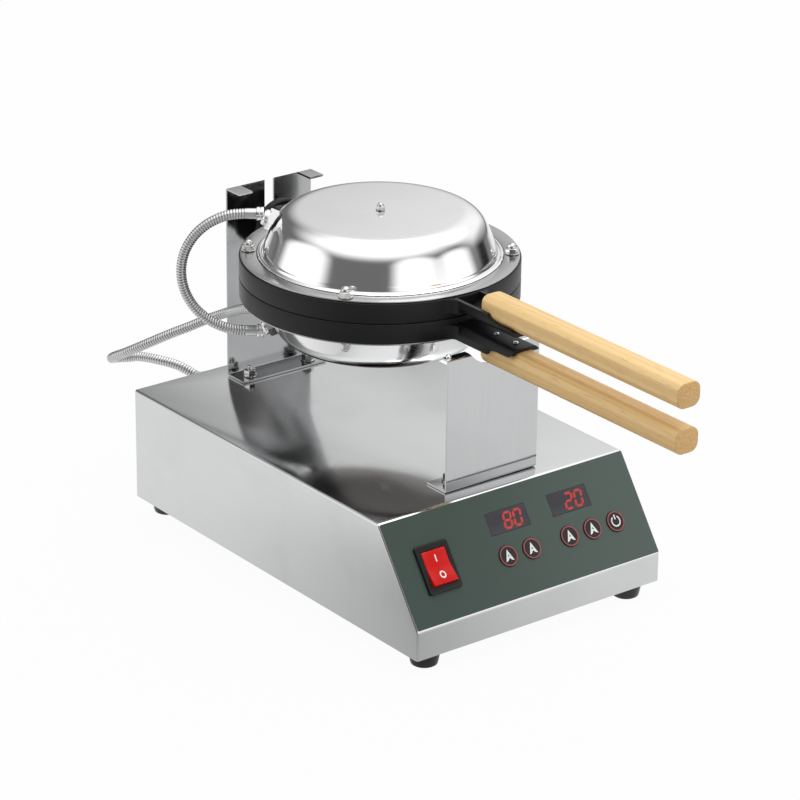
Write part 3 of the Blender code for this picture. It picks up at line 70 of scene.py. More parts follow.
bl_info = {
    "name": "Bubble waffle maker",
    "version": (1, 0, 0),
    "blender": (4, 5, 0),
    "location": "View3D > Sidebar > Waffle Maker",
    "description": "Builds an electric bubble waffle maker over its CAD frame",
    "category": "Add Mesh",
}

TURN = 2 * math.pi
# The gap between neighbouring pieces, and what cutters reach past a face.
GAP = 0.0003
PAST = 0.001
# Radii of the holes for studs, grip screws, the hinge pin, the shaft, bolts and glands.
STUD_HOLE = 0.0024
SCREW_HOLE = 0.0018
PIN_HOLE = 0.00275
SHAFT_HOLE = 0.0043
BOLT_HOLE = 0.0023
GLAND_HOLE = 0.0053
# The rounding of cut sheet edges, and the height of the printed marks.
CUT_EDGE = 0.00018
INK = 0.0001
# The opening for the power switch.
SWITCH_HOLE = (0.0231, 0.0296, 0.01)
AXES = {
    "X": Matrix(((0, 0, 1, 0), (1, 0, 0, 0), (0, 1, 0, 0), (0, 0, 0, 1))),
    "Y": Matrix(((1, 0, 0, 0), (0, 0, 1, 0), (0, 1, 0, 0), (0, 0, 0, 1))),
    "Z": Matrix.Identity(4),
}
moved = Matrix.Translation


# Sizes


def length(name, default, description):
    return FloatProperty(
        name=name, description=description, default=default, precision=5, unit="LENGTH"
    )


def angle(name, degrees, description):
    return FloatProperty(
        name=name, description=description, default=math.radians(degrees), subtype="ANGLE"
    )


class WaffleMouldSizes(bpy.types.PropertyGroup):
    axis_z: length("Axis height", 0.2145, "Height of the turning axis")
    ring_y: length("Mould centre", 0.0824, "Distance of the mould centre behind the origin")
    ring: length("Ring radius", 0.1015, "Outer radius of the casting")
    rim: length("Rim height", 0.0150, "Height of the casting's rim above the parting plane")
    parting: length("Parting", 0.0002, "Half the gap between the two castings")
    recess: length("Recess radius", 0.0905, "Radius of the baking face")
    recess_depth: length("Recess depth", 0.0022, "Depth of the baking face")
    boss: length("Boss radius", 0.0826, "Radius of the boss under the dome")
    boss_height: length("Boss height", 0.0190, "Height of the boss under the dome")
    cell: length("Cell radius", 0.0120, "Radius of one round cell")
    cell_pitch: length("Cell pitch", 0.0280, "Distance between cells in a row")
    cell_rise: length("Cell rise", 0.0008, "Rise of the cell centres from the baking face")
    edge: length("Edge break", 0.0008, "Rounding of the casting's edges")
    clamp_inner: length("Clamp inner radius", 0.0889, "Inner radius of the clamp ring")
    clamp_outer: length("Clamp outer radius", 0.1003, "Outer radius of the clamp ring")
    dome: length("Dome radius", 0.0846, "Radius of the dome's wall at its foot")
    dome_flange: length("Dome flange", 0.0885, "Radius of the dome's rolled flange")
    dome_foot: length("Dome foot", 0.0165, "Height at which the dome's wall starts")
    dome_top: length("Dome top", 0.0483, "Height of the dome's flat top")
    dome_sheet: length("Dome sheet", 0.0008, "Thickness of the dome's steel")
    crown_nut: FloatProperty(
        name="Crown nut", description="Size of the nut on the crown beside the others", default=0.66
    )
    nut_circle: length("Nut circle", 0.0946, "Radius on which the cap nuts stand")
    nut_angle: angle("Nut angle", 38, "Angle of the cap nuts from the X axis")


class WaffleGripSizes(bpy.types.PropertyGroup):
    width: length("Width", 0.0200, "Width of a wooden grip")
    height: length("Height", 0.0180, "Height of a wooden grip")
    corner: length("Corner", 0.0055, "Corner radius of the room for a grip")
    wood_corner: length("Wood corner", 0.0066, "Corner radius of a wooden grip")
    front_y: length("Front end", -0.2490, "Front end of the grips")
    length: length("Length", 0.2060, "Length of a wooden grip")
    offset: length("Offset", 0.0162, "Distance of a grip's middle from the parting plane")
    neck_width: length("Neck width", 0.0260, "Outer width of the cast channel")
    neck_gap: length("Neck gap", 0.0045, "Distance of the channel from the parting plane")
    neck_top: length("Neck top", 0.0149, "Top of the channel's walls")
    neck_end: length("Neck end", -0.0820, "Front end of the channel")
    neck_step: length("Neck step", -0.0560, "Where the channel's walls start to drop")
    neck_sweep: length("Neck sweep", 0.0110, "Length over which the walls drop")
    fillet: length("Fillet", 0.0085, "Radius that leads the ring into the channel")
    tongue: length("Tongue", 0.0098, "Height of the channel's front tongue")
    clearance: length("Clearance", 0.0003, "Gap between neighbouring pieces")


class WaffleSupportSizes(bpy.types.PropertyGroup):
    sheet: length("Sheet", 0.0015, "Thickness of the folded steel")
    fold: length("Fold radius", 0.0018, "Radius of the folds")
    rear_y: length("Rear plate", 0.2187, "Front face of the rear support")
    rear_half: length("Rear half width", 0.0383, "Half the width of the rear support")
    rear_top: length("Rear top", 0.2480, "Top of the rear support")
    front_y: length("Front plate", -0.0488, "Front face of the front support")
    front_half: length("Front half width", 0.0408, "Half the width of the front support")
    front_top: length("Front top", 0.1993, "Top of the front support")
    foot: length("Foot", 0.0200, "Length of the folded feet")
    flange: length("Flange", 0.0065, "Depth of the front plate's upper flange")
    tab: length("Stop tab", 0.0155, "Reach of the two stop tabs")
    tab_width: length("Tab width", 0.0120, "Width of a stop tab")
    slot: length("Slot", 0.00425, "Half the width of the shaft's slot")
    bolt_x: length("Bolt place", 0.0270, "Distance of the bolts from the middle")
    hinge_y: length("Hinge place", 0.1920, "Distance of the hinge pin behind the origin")
    hinge_rise: length("Hinge rise", 0.0150, "Height of the hinge pin above the axis")
    disc: length("Pivot disc", 0.0220, "Radius of the disc that carries the shaft")
    disc_y: length("Disc place", 0.2010, "Front face of the pivot disc")
    disc_depth: length("Disc depth", 0.0060, "Thickness of the pivot disc")


class WaffleBaseSizes(bpy.types.PropertyGroup):
    half: length("Half width", 0.1100, "Half the width of the base")
    rear_y: length("Rear", 0.2390, "Rear face of the base")
    top_z: length("Top", 0.0986, "Top face of the base")
    panel_top_y: length("Panel top", -0.0609, "Where the top face meets the panel")
    panel_front_y: length("Panel front", -0.1069, "Front face of the base")
    panel_bottom_z: length("Panel bottom", 0.0337, "Where the panel meets the front face")
    bottom_z: length("Underside", 0.0120, "Underside of the base")
    foot_top: length("Foot top radius", 0.0115, "Upper radius of a rubber foot")
    foot_bottom: length("Foot bottom radius", 0.0095, "Lower radius of a rubber foot")
    foot_inset: FloatVectorProperty(
        name="Foot inset", description="Inset of the feet", default=(0.018, 0.015), size=2, unit="LENGTH"
    )
    film: length("Film", 0.0006, "Thickness of the panel film")
    film_margin: length("Film margin", 0.0010, "Steel left bare round the film")
    window: FloatVectorProperty(
        name="Window", description="Size of a display", default=(0.035, 0.016), size=2, unit="LENGTH"
    )
    window_v: length("Window place", 0.0160, "Height of the displays on the panel")
    temperature_u: length("Temperature place", -0.0063, "Place of the temperature display")
    time_u: length("Time place", 0.0495, "Place of the time display")
    key: length("Key radius", 0.0076, "Radius of a key")
    key_v: length("Key place", -0.0085, "Height of the keys on the panel")
    key_pitch: length("Key pitch", 0.0212, "Distance between paired keys")
    start_u: length("Start key place", 0.0816, "Place of the start and stop key")
    switch_u: length("Switch place", -0.0765, "Place of the power switch")
    switch_v: length("Switch height", -0.0010, "Height of the power switch on the panel")


class WaffleHoseSizes(bpy.types.PropertyGroup):
    radius: length("Radius", 0.00375, "Outer radius of a steel conduit")
    root: length("Root radius", 0.00345, "Radius between two ribs")
    pitch: length("Rib pitch", 0.0020, "Distance between two ribs")
    straight: length("Straight end", 0.0075, "Plain length at each end")
    sides: IntProperty(name="Sides", description="Faces round a conduit", default=18, min=8)
    level: length("Level", 0.0448, "Height of the fittings' mouths from the parting plane")
    mouth: length("Mouth", 0.0888, "Distance of a fitting's mouth from the mould centre")
    bridge_angle: angle("Bridge angle", 143, "Direction of the bridge hose from the X axis")
    supply_angle: angle("Supply angle", 112, "Direction of the supply conduit from the X axis")
    bridge_length: length("Bridge length", 0.159, "Length of the bridge hose")
    supply_length: length("Supply length", 0.251, "Length of the supply conduit")
    bridge_run: length("Bridge run", 0.00864, "Straight run before the bridge hose turns")
    bridge_deep: length("Bridge depth", 0.04536, "Reach of the bridge hose's bend")


class WaffleStudio(bpy.types.PropertyGroup):
    target: FloatVectorProperty(
        name="Target", description="Point the camera looks at", default=(0.0356, 0.103, 0.1), size=3
    )
    azimuth: angle("Azimuth", -37.85, "Camera angle round the object")
    elevation: angle("Elevation", 22.631, "Camera angle above the floor")
    roll: angle("Roll", 0.68, "Camera roll")
    distance: length("Distance", 2.6492, "Camera distance from its target")
    lens: FloatProperty(name="Lens", description="Focal length in millimetres", default=160.84)
    sensor: FloatProperty(name="Sensor", description="Sensor width in millimetres", default=36.0)


GROUPS = {
    "waffle_mould": WaffleMouldSizes,
    "waffle_grip": WaffleGripSizes,
    "waffle_support": WaffleSupportSizes,
    "waffle_base": WaffleBaseSizes,
    "waffle_hose": WaffleHoseSizes,
    "waffle_studio": WaffleStudio,
}

# The supply conduit's line, from its fitting to the gland in the base.
SUPPLY_ROUTE = (
    (-0.0390, 0.1750, 0.1680), (-0.0441, 0.1910, 0.1630), (-0.0465, 0.2070, 0.1558),
    (-0.0513, 0.2170, 0.1504), (-0.0567, 0.2250, 0.1455), (-0.0631, 0.2330, 0.1401),
    (-0.0706, 0.2420, 0.1344), (-0.0781, 0.2510, 0.1284), (-0.0872, 0.2640, 0.1196),
    (-0.0931, 0.2770, 0.1115), (-0.0945, 0.2890, 0.1050), (-0.0906, 0.2985, 0.0995),
    (-0.0822, 0.3030, 0.0965), (-0.0740, 0.3005, 0.0958), (-0.0674, 0.2950, 0.0966),
    (-0.0597, 0.2810, 0.0966), (-0.0505, 0.2680, 0.0940),
)
CONDUIT_GLAND = (-0.0420, 0.0878)
MAINS_GLAND = (0.0720, 0.0400)
GLAND_MOUTH = Vector((-0.0420, 0.2493, 0.0878))


# Shading


class Value:
    """A node output that takes part in arithmetic."""

    def __init__(self, look, socket):
        self.look, self.socket = look, socket

    def __add__(self, other):
        return self.look.maths("ADD", self, other)

    def __sub__(self, other):
        return self.look.maths("SUBTRACT", self, other)

    def __rsub__(self, other):
        return self.look.maths("SUBTRACT", other, self)

    def __mul__(self, other):
        return self.look.maths("MULTIPLY", self, other)

    __radd__ = __add__
    __rmul__ = __mul__

    def above(self, low, high):
        """0 up to low, 1 from high on, smooth between them."""
        ends = {"Value": self, "From Min": low, "From Max": high}
        return self.look.node("ShaderNodeMapRange", {"interpolation_type": "SMOOTHSTEP"}, ends)["Result"]


class Look:
    """A material whose textures read the piece's own space."""

    def __init__(self, name, tree=None):
        if tree is None:
            self.material = bpy.data.materials.new(name)
            self.material.use_nodes = True
            tree = self.material.node_tree
        self.tree = tree
        self.shader = tree.nodes.get("Principled BSDF")
        self.output = tree.nodes.get("Material Output")
        self.place = self.node("ShaderNodeTexCoord")["Object"]

    def node(self, kind, settings=None, inputs=None):
        made = self.tree.nodes.new(kind)
        for key, value in (settings or {}).items():
            setattr(made, key, value)
        for key, value in (inputs or {}).items():
            self.feed(made.inputs[key], value)
        return {s.name: Value(self, s) for s in reversed(made.outputs)}

    def feed(self, socket, value):
        if isinstance(value, Value):
            self.tree.links.new(value.socket, socket)
        elif isinstance(value, tuple) and len(value) == 3 and socket.type == "RGBA":
            socket.default_value = (*value, 1)
        else:
            socket.default_value = value

    def maths(self, operation, *values):
        return self.node("ShaderNodeMath", {"operation": operation}, dict(enumerate(values)))["Value"]

    def vector_maths(self, operation, *values):
        inputs = dict(enumerate(values))
        return self.node("ShaderNodeVectorMath", {"operation": operation}, inputs)["Value"]

    def along(self, axis):
        return self.node("ShaderNodeSeparateXYZ", None, {"Vector": self.place})[axis]

    def noise(self, scale, detail=3.0, rough=0.5, warp=0.0):
        """Noise that repeats about `scale` times a metre, evenly or with one scale for each axis."""
        stretch, size = (scale, 1.0) if isinstance(scale, tuple) else ((1, 1, 1), scale)
        inputs = {"Vector": self.place, "Scale": Vector(stretch)}
        placed = self.node("ShaderNodeMapping", None, inputs)["Vector"]
        inputs = {"Vector": placed, "Scale": size, "Detail": detail, "Roughness": rough}
        return self.node("ShaderNodeTexNoise", None, {**inputs, "Distortion": warp})["Fac"]

    def mix(self, factor, a, b):
        made = self.tree.nodes.new("ShaderNodeMix")
        made.data_type = "RGBA"
        for socket, value in zip((0, 6, 7), (factor, a, b)):
            self.feed(made.inputs[socket], value)
        return Value(self, made.outputs[2])

    def grey(self, shade, base=(1, 1, 1)):
        parts = {i: shade * part for i, part in enumerate(base)}
        return self.node("ShaderNodeCombineColor", None, parts)["Color"]

    def bump(self, height, distance, strength=1.0):
        inputs = {"Height": height, "Distance": distance, "Strength": strength}
        self.set({"Normal": self.node("ShaderNodeBump", None, inputs)["Normal"]})

    def set(self, inputs):
        for key, value in inputs.items():
            self.feed(self.shader.inputs[key], value)


def steel(name, base, low, high, grain, bump, spread=0.05):
    """Steel with a directional grain and a few soft smudges."""
    look = Look(name)
    lines = look.noise(grain, 2.0, 0.6)
    smudge = look.noise((14, 14, 14), 3.0, 0.55)
    shade = 1 - spread * lines - spread * smudge.above(0.45, 0.75)
    look.colour = look.grey(shade, base)
    rough = low + (high - low) * lines + 0.05 * smudge.above(0.5, 0.8)
    look.set({"Base Color": look.colour, "Metallic": 1.0, "Roughness": rough})
    look.bump(lines, bump, 0.5)
    return look


def heated_steel(name, low=0.1700, high=0.1770):
    """Polished steel that has gone dull brown on its flat face, below the given heights."""
    look = steel(name, *STEELS["dome_steel"][1:])
    sound = look.along("Z").above(low, high)
    look.set({"Base Color": look.mix(sound, (0.20, 0.185, 0.175), look.colour)})
    return look


def plain(name, base, rough, speckle=700.0, bump=0.00004, spread=0.3, wear=0.12, shine=0.5):
    """Paint, rubber or plastic with a fine skin and uneven gloss."""
    look = Look(name)
    fine = look.noise(speckle, 2.0)
    broad = look.noise(22.0, 4.0)
    darker = tuple(c * (1 - spread) for c in base)
    lighter = tuple(min(1.0, c * (1 + spread)) for c in base)
    look.set({
        "Base Color": look.mix(fine * 0.5 + broad * 0.5, darker, lighter),
        "Roughness": rough + wear * (broad - 0.5) + 0.05 * (fine - 0.5),
        "Specular IOR Level": shine,
    })
    look.bump(fine, bump, 0.6)
    return look


def wood(name):
    """Pale beech: long fine grain, short dark flecks, bare end grain and a dull varnish."""
    look = Look(name)
    sway = look.noise((9, 1.2, 9), 2.0, 0.5, 0.4)
    rings = look.noise((320, 2.2, 320), 4.0, 0.6, 0.4)
    flecks = look.noise((1300, 70, 1300), 1.0, 0.4).above(0.63, 0.72)
    tone = look.mix(rings.above(0.28, 0.72), (0.62, 0.375, 0.14), (0.86, 0.60, 0.265))
    tone = look.mix(sway.above(0.4, 0.7) * 0.3, tone, (0.90, 0.67, 0.33))
    tone = look.mix(flecks * 0.35, tone, (0.40, 0.22, 0.085))
    grain = look.along("Y").above(-0.2487, -0.2480)
    pores = look.noise(1500.0, 1.0).above(0.4, 0.7)
    tone = look.mix(grain, look.mix(pores, (0.58, 0.345, 0.125), (0.78, 0.49, 0.20)), tone)
    look.set({"Base Color": tone, "Roughness": 0.42 + 0.16 * rings + 0.1 * flecks})
    look.set({"Coat Weight": 0.15, "Coat Roughness": 0.3})
    look.bump(grain * (rings * 0.6 - flecks * 0.5) + pores * 0.1, 0.00012, 0.5)
    return look


def conduit_steel(name):
    """Bright wound steel with painted shade that makes it darker down in the grooves between its ribs."""
    look = Look(name)
    high = look.node("ShaderNodeAttribute", {"attribute_name": "rib_height"})["Fac"]
    grime = look.noise(240.0, 3.0)
    # Painted shade in the grooves, by rib height, with a little random grime on top.
    groove_shade_and_grime = look.grey(0.33 + 0.37 * high.above(0.1, 0.8) - 0.08 * grime, (1, 1, 1.01))
    look.set({"Base Color": groove_shade_and_grime, "Metallic": 1.0, "Roughness": 0.26 + 0.14 * grime})
    look.bump(grime, 0.00004, 0.5)
    return look


def film(name):
    """Printed polyester film: even ink over a fine orange-peel skin, with a painted sheen that makes it
    paler to the right.
    """
    look = Look(name)
    skin = look.noise(1500.0, 1.0)
    cloud = look.noise(12.0, 3.0)
    # Painted sheen: the film's colour grows paler towards +X, as a soft light on that side would make it.
    across = look.along("X").above(-0.13, 0.13)
    tone = look.mix(across * 0.85 + 0.15 * cloud, (0.038, 0.064, 0.054), (0.082, 0.108, 0.096))
    look.set({"Base Color": tone, "Roughness": 0.30 + 0.06 * skin, "Specular IOR Level": 0.4})
    look.bump(skin, 0.00003, 0.4)
    return look


def red_light(name, colour=(0.56, 0.040, 0.034)):
    """A lit segment: brighter in its middle than the dark mask round it."""
    look = plain(name, (0.02, 0.004, 0.004), 0.3)
    flicker = look.noise(900.0, 1.0).above(0.3, 0.6)
    low = tuple(c * 0.8 for c in colour)
    look.set({"Emission Color": look.mix(flicker, low, colour), "Emission Strength": 1.0})
    return look


def circuit_board(name):
    """Green board with a lattice of copper tracks under its lacquer."""
    look = Look(name)
    weave = look.noise((420, 420, 420), 0.0).above(0.52, 0.55)
    spots = look.noise((160, 900, 900), 1.0).above(0.55, 0.58)
    tone = look.mix(weave * 0.5 + spots * 0.3, (0.012, 0.10, 0.035), (0.10, 0.22, 0.07))
    look.set({"Base Color": tone, "Roughness": 0.35 + 0.2 * weave})
    look.bump(weave, 0.00005)
    return look


# Each steel: its slot in the record, colour, least and most roughness, grain, bump and spread.
STEELS = {
    "housing_steel": ("housing_steel", (0.66, 0.665, 0.67), 0.09, 0.15, (40, 12, 1600), 0.000004),
    "plain_steel": ("plain_steel", (0.45, 0.45, 0.46), 0.34, 0.5, (60, 60, 60), 0.00002, 0.15),
    "polished_steel": ("polished_steel", (0.56, 0.565, 0.57), 0.08, 0.14, (500, 500, 30), 0.000002),
    # The rear plate's copy of polished steel, darker as painted shade.
    "shaded_steel": ("polished_steel", (0.44, 0.445, 0.45), 0.10, 0.17, (500, 500, 30), 0.000002),
    "dome_steel": ("polished_steel", (0.84, 0.84, 0.84), 0.07, 0.13, (20, 20, 900), 0.000002, 0.03),
    "bright_steel": ("bright_steel", (0.86, 0.86, 0.86), 0.12, 0.22, (300, 300, 300), 0.000008, 0.06),
    "nut_steel": ("bright_steel", (0.62, 0.62, 0.61), 0.08, 0.16, (300, 300, 300), 0.000008, 0.08),
    "satin_steel": ("bright_steel", (0.42, 0.42, 0.42), 0.17, 0.26, (700, 700, 700), 0.00001, 0.08),
    "heater_sheath": ("heater_sheath", (0.36, 0.34, 0.32), 0.4, 0.6, (90, 90, 90), 0.00003, 0.25),
}
# Each plain look: its slot, colour, roughness, speckle, bump, spread, wear and shine.
PLAINS = {
    "black_casting": (
        "black_casting", (0.0085, 0.0083, 0.0085), 0.42, 900.0, 0.00005, 0.25, 0.12, 0.28,
    ),
    "rubber": ("rubber", (0.008, 0.008, 0.008), 0.30, 500.0, 0.00005),
    "display_window": ("display_window", (0.050, 0.050, 0.060), 0.30, 60.0, 0.000005, 0.08, 0.06, 0.3),
    "black_plastic": ("black_plastic", (0.008, 0.008, 0.009), 0.34, 1100.0, 0.00004, 0.3, 0.12, 0.35),
    "key_black": ("black_plastic", (0.026, 0.021, 0.021), 0.42, 1300.0, 0.00003, 0.3, 0.12, 0.3),
    "white_ink": ("black_plastic", (0.80, 0.80, 0.79), 0.5, 1600.0, 0.00002, 0.05),
    "red_ink": ("black_plastic", (0.42, 0.085, 0.085), 0.5, 1600.0, 0.00002, 0.12),
    "red_plastic": ("red_plastic", (0.60, 0.005, 0.004), 0.28, 500.0, 0.00002, 0.08, 0.12, 0.3),
}
# The others: each its slot and what makes it.
OTHERS = {
    "heated_steel": ("polished_steel", heated_steel),
    "wood": ("wood", wood),
    "panel_film": ("panel_film", film),
    "red_light": ("display_window", red_light),
    "conduit_steel": ("conduit_steel", conduit_steel),
    "circuit_board": ("circuit_board", circuit_board),
}
MADE = {}


def dress(made, look):
    """Gives the object its material."""
    if look not in MADE:
        for table, maker in ((STEELS, steel), (PLAINS, plain)):
            if look in table:
                slot, *values = table[look]
                MADE[look] = slot, maker(look, *values).material
        if look in OTHERS:
            slot, maker = OTHERS[look]
            MADE[look] = slot, maker(look).material
    slot, material = MADE[look]
    made.data.materials.append(material)


# Shapes


def arc(centre, radius, start, end, steps):
    turns = [start + (end - start) * i / steps for i in range(steps + 1)]
    return [(centre[0] + radius * math.cos(a), centre[1] + radius * math.sin(a)) for a in turns]


def box_outline(width, height, corner, steps=6, centre=(0, 0)):
    points = []
    for i, (sx, sy) in enumerate(((1, 1), (-1, 1), (-1, -1), (1, -1))):
        middle = (centre[0] + sx * (width / 2 - corner), centre[1] + sy * (height / 2 - corner))
        points += arc(middle, corner, i * TURN / 4, (i + 1) * TURN / 4, steps)
    return points


def softened(points, radius, steps=4):
    """An open line with each inner corner rounded, as far as its legs allow."""
    made = [points[0]]
    for corners in zip(points, points[1:], points[2:]):
        before, corner, after = (Vector(p) for p in corners)
        a, b = before - corner, after - corner
        half = a.angle(b) / 2
        if half > 1.54:
            made.append(tuple(corner))
            continue
        reach = min(radius / math.tan(half), a.length * 0.48, b.length * 0.48)
        start, end = corner + a.normalized() * reach, corner + b.normalized() * reach
        for i in range(steps + 1):
            t = i / steps
            made.append(tuple(start * (1 - t) ** 2 + corner * 2 * t * (1 - t) + end * t * t))
    return made + [points[-1]]


def tidy(bm):
    bmesh.ops.remove_doubles(bm, verts=bm.verts, dist=1e-6)
    bmesh.ops.dissolve_degenerate(bm, edges=bm.edges, dist=1e-7)
    bmesh.ops.recalc_face_normals(bm, faces=bm.faces)
    return bm


def turned(points, steps=96, axis="Z", soft=None):
    """A line of (radius, height) points spun round the axis, softened first if asked."""
    if soft:
        points = softened(points, *soft)
    bm = bmesh.new()
    verts = [bm.verts.new((r, 0, z)) for r, z in points]
    edges = [bm.edges.new(pair) for pair in zip(verts, verts[1:])]
    bmesh.ops.spin(
        bm, geom=verts + edges, cent=(0, 0, 0), axis=(0, 0, 1), angle=TURN, steps=steps, use_merge=True
    )
    bm.transform(AXES[axis])
    return tidy(bm)


def plate(points, low, high, axis="Z"):
    """A flat outline drawn out between two levels of an axis."""
    bm = bmesh.new()
    face = bm.faces.new([bm.verts.new((u, v, low)) for u, v in points])
    made = bmesh.ops.extrude_face_region(bm, geom=[face])["geom"]
    raised = [v for v in made if isinstance(v, bmesh.types.BMVert)]
    bmesh.ops.translate(bm, vec=(0, 0, high - low), verts=raised)
    bm.transform(AXES[axis])
    return tidy(bm)


def block(size, centre=(0, 0, 0)):
    bm = bmesh.new()
    bmesh.ops.create_cube(bm, size=1, matrix=moved(centre) @ Matrix.Diagonal((*size, 1)))
    return bm


def rod(radius, start, end, axis="Z", at=(0, 0), sides=32):
    """A round or many-sided bar along an axis, at a place across it."""
    bm = bmesh.new()
    middle = moved((at[0], at[1], (start + end) / 2))
    bmesh.ops.create_cone(
        bm, cap_ends=True, segments=sides, radius1=radius, radius2=radius, depth=end - start, matrix=middle
    )
    bm.transform(AXES[axis])
    return tidy(bm)


def bevelled(bm, width, segments=3, pick=None, least=60):
    """Rounds the edges that turn by more than `least` degrees."""
    edges = [
        e
        for e in bm.edges
        if len(e.link_faces) == 2
        and e.calc_face_angle(0) > math.radians(least)
        and (pick is None or pick(e))
    ]
    bmesh.ops.bevel(
        bm, geom=edges, offset=width, segments=segments,
        profile=0.5, affect="EDGES", material=-1, clamp_overlap=True,
    )
    return tidy(bm)


def mesh_of(bm, name):
    mesh = bpy.data.meshes.new(name)
    bm.to_mesh(mesh)
    bm.free()
    return mesh


def joined(*parts):
    """Several closed shapes in one mesh, left as they are."""
    whole = bmesh.new()
    for bm in parts:
        mesh = mesh_of(bm, "loose")
        whole.from_mesh(mesh)
        bpy.data.meshes.remove(mesh)
    return whole


def holder(bm):
    made = bpy.data.objects.new("holder", mesh_of(bm, "holder"))
    bpy.context.scene.collection.objects.link(made)
    return made


def applied(target, *others):
    """The first holder's shape with its modifiers applied; the holders go."""
    bpy.context.view_layer.update()
    graph = bpy.context.evaluated_depsgraph_get()
    mesh = bpy.data.meshes.new_from_object(target.evaluated_get(graph))
    made = bmesh.new()
    made.from_mesh(mesh)
    bpy.data.meshes.remove(mesh)
    for item in (target, *others):
        data = item.data
        bpy.data.objects.remove(item)
        bpy.data.meshes.remove(data)
    return tidy(made)


def carved(bm, cut=(), add=(), keep=()):
    """The shape with others joined on, cut away, or kept only where both are."""
    target = holder(bm)
    held = []
    for operation, shapes in (("UNION", add), ("DIFFERENCE", cut), ("INTERSECT", keep)):
        for shape in shapes:
            modifier = target.modifiers.new(operation, "BOOLEAN")
            modifier.operation, modifier.solver = operation, "EXACT"
            modifier.object = holder(shape)
            held.append(modifier.object)
    return applied(target, *held)


def thick(bm, sheet, offset):
    """The open sheet as a closed solid, through a Solidify modifier."""
    target = holder(bm)
    modifier = target.modifiers.new("sheet", "SOLIDIFY")
    modifier.thickness, modifier.offset, modifier.use_even_offset = sheet, offset, True
    return applied(target)


def piece(name, bm, look, body, nodes=(), move=None, sharp=32):
    """One visible piece: placed, shaded, named and fixed to its body."""
    if move is not None:
        bm.transform(move)
    bmesh.ops.recalc_face_normals(bm, faces=bm.faces)
    mesh = mesh_of(bm, name)
    mesh.shade_smooth()
    mesh.set_sharp_from_angle(angle=math.radians(sharp))
    made = bpy.data.objects.new(name, mesh)
    bpy.context.scene.collection.objects.link(made)
    if body:
        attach(made, body)
    dress(made, look)
    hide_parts(*([nodes] if isinstance(nodes, str) else nodes))
    return made


def upper_frame(m):
    return moved((0, m.ring_y, m.axis_z))


def lower_frame(m):
    return upper_frame(m) @ Matrix.Rotation(math.pi, 4, "Y")


def halves(m):
    return (("upper", upper_frame(m), "upper_half"), ("lower", lower_frame(m), "lower_half"))


def panel_frame(b):
    run = Vector((0, b.panel_top_y - b.panel_front_y, b.top_z - b.panel_bottom_z))
    middle = (0, (b.panel_top_y + b.panel_front_y) / 2, (b.top_z + b.panel_bottom_z) / 2)
    return moved(middle) @ Matrix.Rotation(math.atan2(run.z, run.y), 4, "X"), run.length


# Moulds


def cell_places(m):
    reach = m.recess - m.cell - 0.0028
    row = m.cell_pitch * math.sqrt(3) / 2
    count = math.ceil(reach / m.cell_pitch)
    for side in (-1, 1):
        for step in range(math.ceil(reach / row)):
            y = side * (m.cell_pitch / 2 + step * row)
            shift = m.cell_pitch / 2 * (1 - step % 2)
            for i in range(-count, count + 1):
                x = i * m.cell_pitch + shift
                if math.hypot(x, y) <= reach:
                    yield x, y


def nut_places(m):
    x, y = m.nut_circle * math.cos(m.nut_angle), m.nut_circle * math.sin(m.nut_angle)
    return [(sx * x, sy * y) for sx in (-1, 1) for sy in (-1, 1)]


def casting(m, g):
    """One half of the mould with its neck, before its hinge parts are added."""
    floor = m.parting + m.recess_depth
    line = [(0, m.boss_height), (m.boss, m.boss_height), (m.boss, m.rim), (m.ring, m.rim)]
    line += [(m.ring, m.parting), (m.recess, m.parting), (m.recess, floor), (0, floor)]
    body = turned(line, 128, soft=(m.edge, 3))
    inner = g.width / 2 + g.clearance
    low = g.offset - g.height / 2 - g.clearance
    corner = g.corner + g.clearance
    outer, turn = g.neck_width / 2, 0.0062
    right = [(outer, g.neck_top)]
    right += arc((outer - turn, g.neck_gap + turn), turn, 0, -TURN / 4, 7)
    inside = [(-inner, g.neck_top)]
    inside += arc((-inner + corner, low + corner), corner, TURN / 2, 0.75 * TURN, 7)
    inside += [(-x, z) for x, z in reversed(inside)]
    section = right + [(-x, z) for x, z in reversed(right)] + inside
    root = -m.ring + 0.008
    end, step = g.neck_end - m.ring_y, g.neck_step - m.ring_y
    neck = plate(section, end, root, "Y")
    drop = g.neck_top - g.tongue
    side = [(root + 0.002, g.neck_top + 0.002), (step, g.neck_top + 0.002)]
    for i in range(11):
        a = TURN / 4 * i / 10
        side.append((step - g.neck_sweep * (1 - math.cos(a)), g.neck_top - drop * math.sin(a)))
    side += [(end + 0.003, g.tongue), (end, g.tongue - 0.0015), (end, g.neck_gap - 0.002)]
    side += [(root + 0.002, g.neck_gap - 0.002)]
    neck = carved(neck, keep=[plate(side, -outer - PAST, outer + PAST, "X")])
    # A fillet on each side leads the ring into the neck.
    x, y = outer + g.fillet, -math.sqrt((m.ring + g.fillet) ** 2 - (outer + g.fillet) ** 2)
    web = arc((x, y), g.fillet, math.pi, math.atan2(-y, -x), 10)
    web += [(web[-1][0] * 0.97, web[-1][1] * 0.97), (outer - 0.001, root), (outer - 0.001, y)]
    webs = [plate([(s * u, v) for u, v in web], g.neck_gap, g.neck_top - GAP) for s in (-1, 1)]
    return carved(body, add=[neck, *webs])


def cells(m):
    bm = bmesh.new()
    for x, y in cell_places(m):
        place = moved((x, y, m.parting + m.recess_depth - m.cell_rise))
        bmesh.ops.create_uvsphere(bm, u_segments=28, v_segments=14, radius=m.cell, matrix=place)
    return bm


def screw_places(g):
    return [g.neck_end + 0.0104, g.neck_end + 0.0315]


def stud_holes(m, g):
    holes = [rod(STUD_HOLE, m.rim - 0.0088, m.rim + 0.002, "Z", at, 16) for at in nut_places(m)]
    low, high = g.neck_gap - 0.002, g.offset - g.height / 2 + 0.002
    return holes + [rod(SCREW_HOLE, low, high, "Z", (0, y - m.ring_y), 16) for y in screw_places(g)]


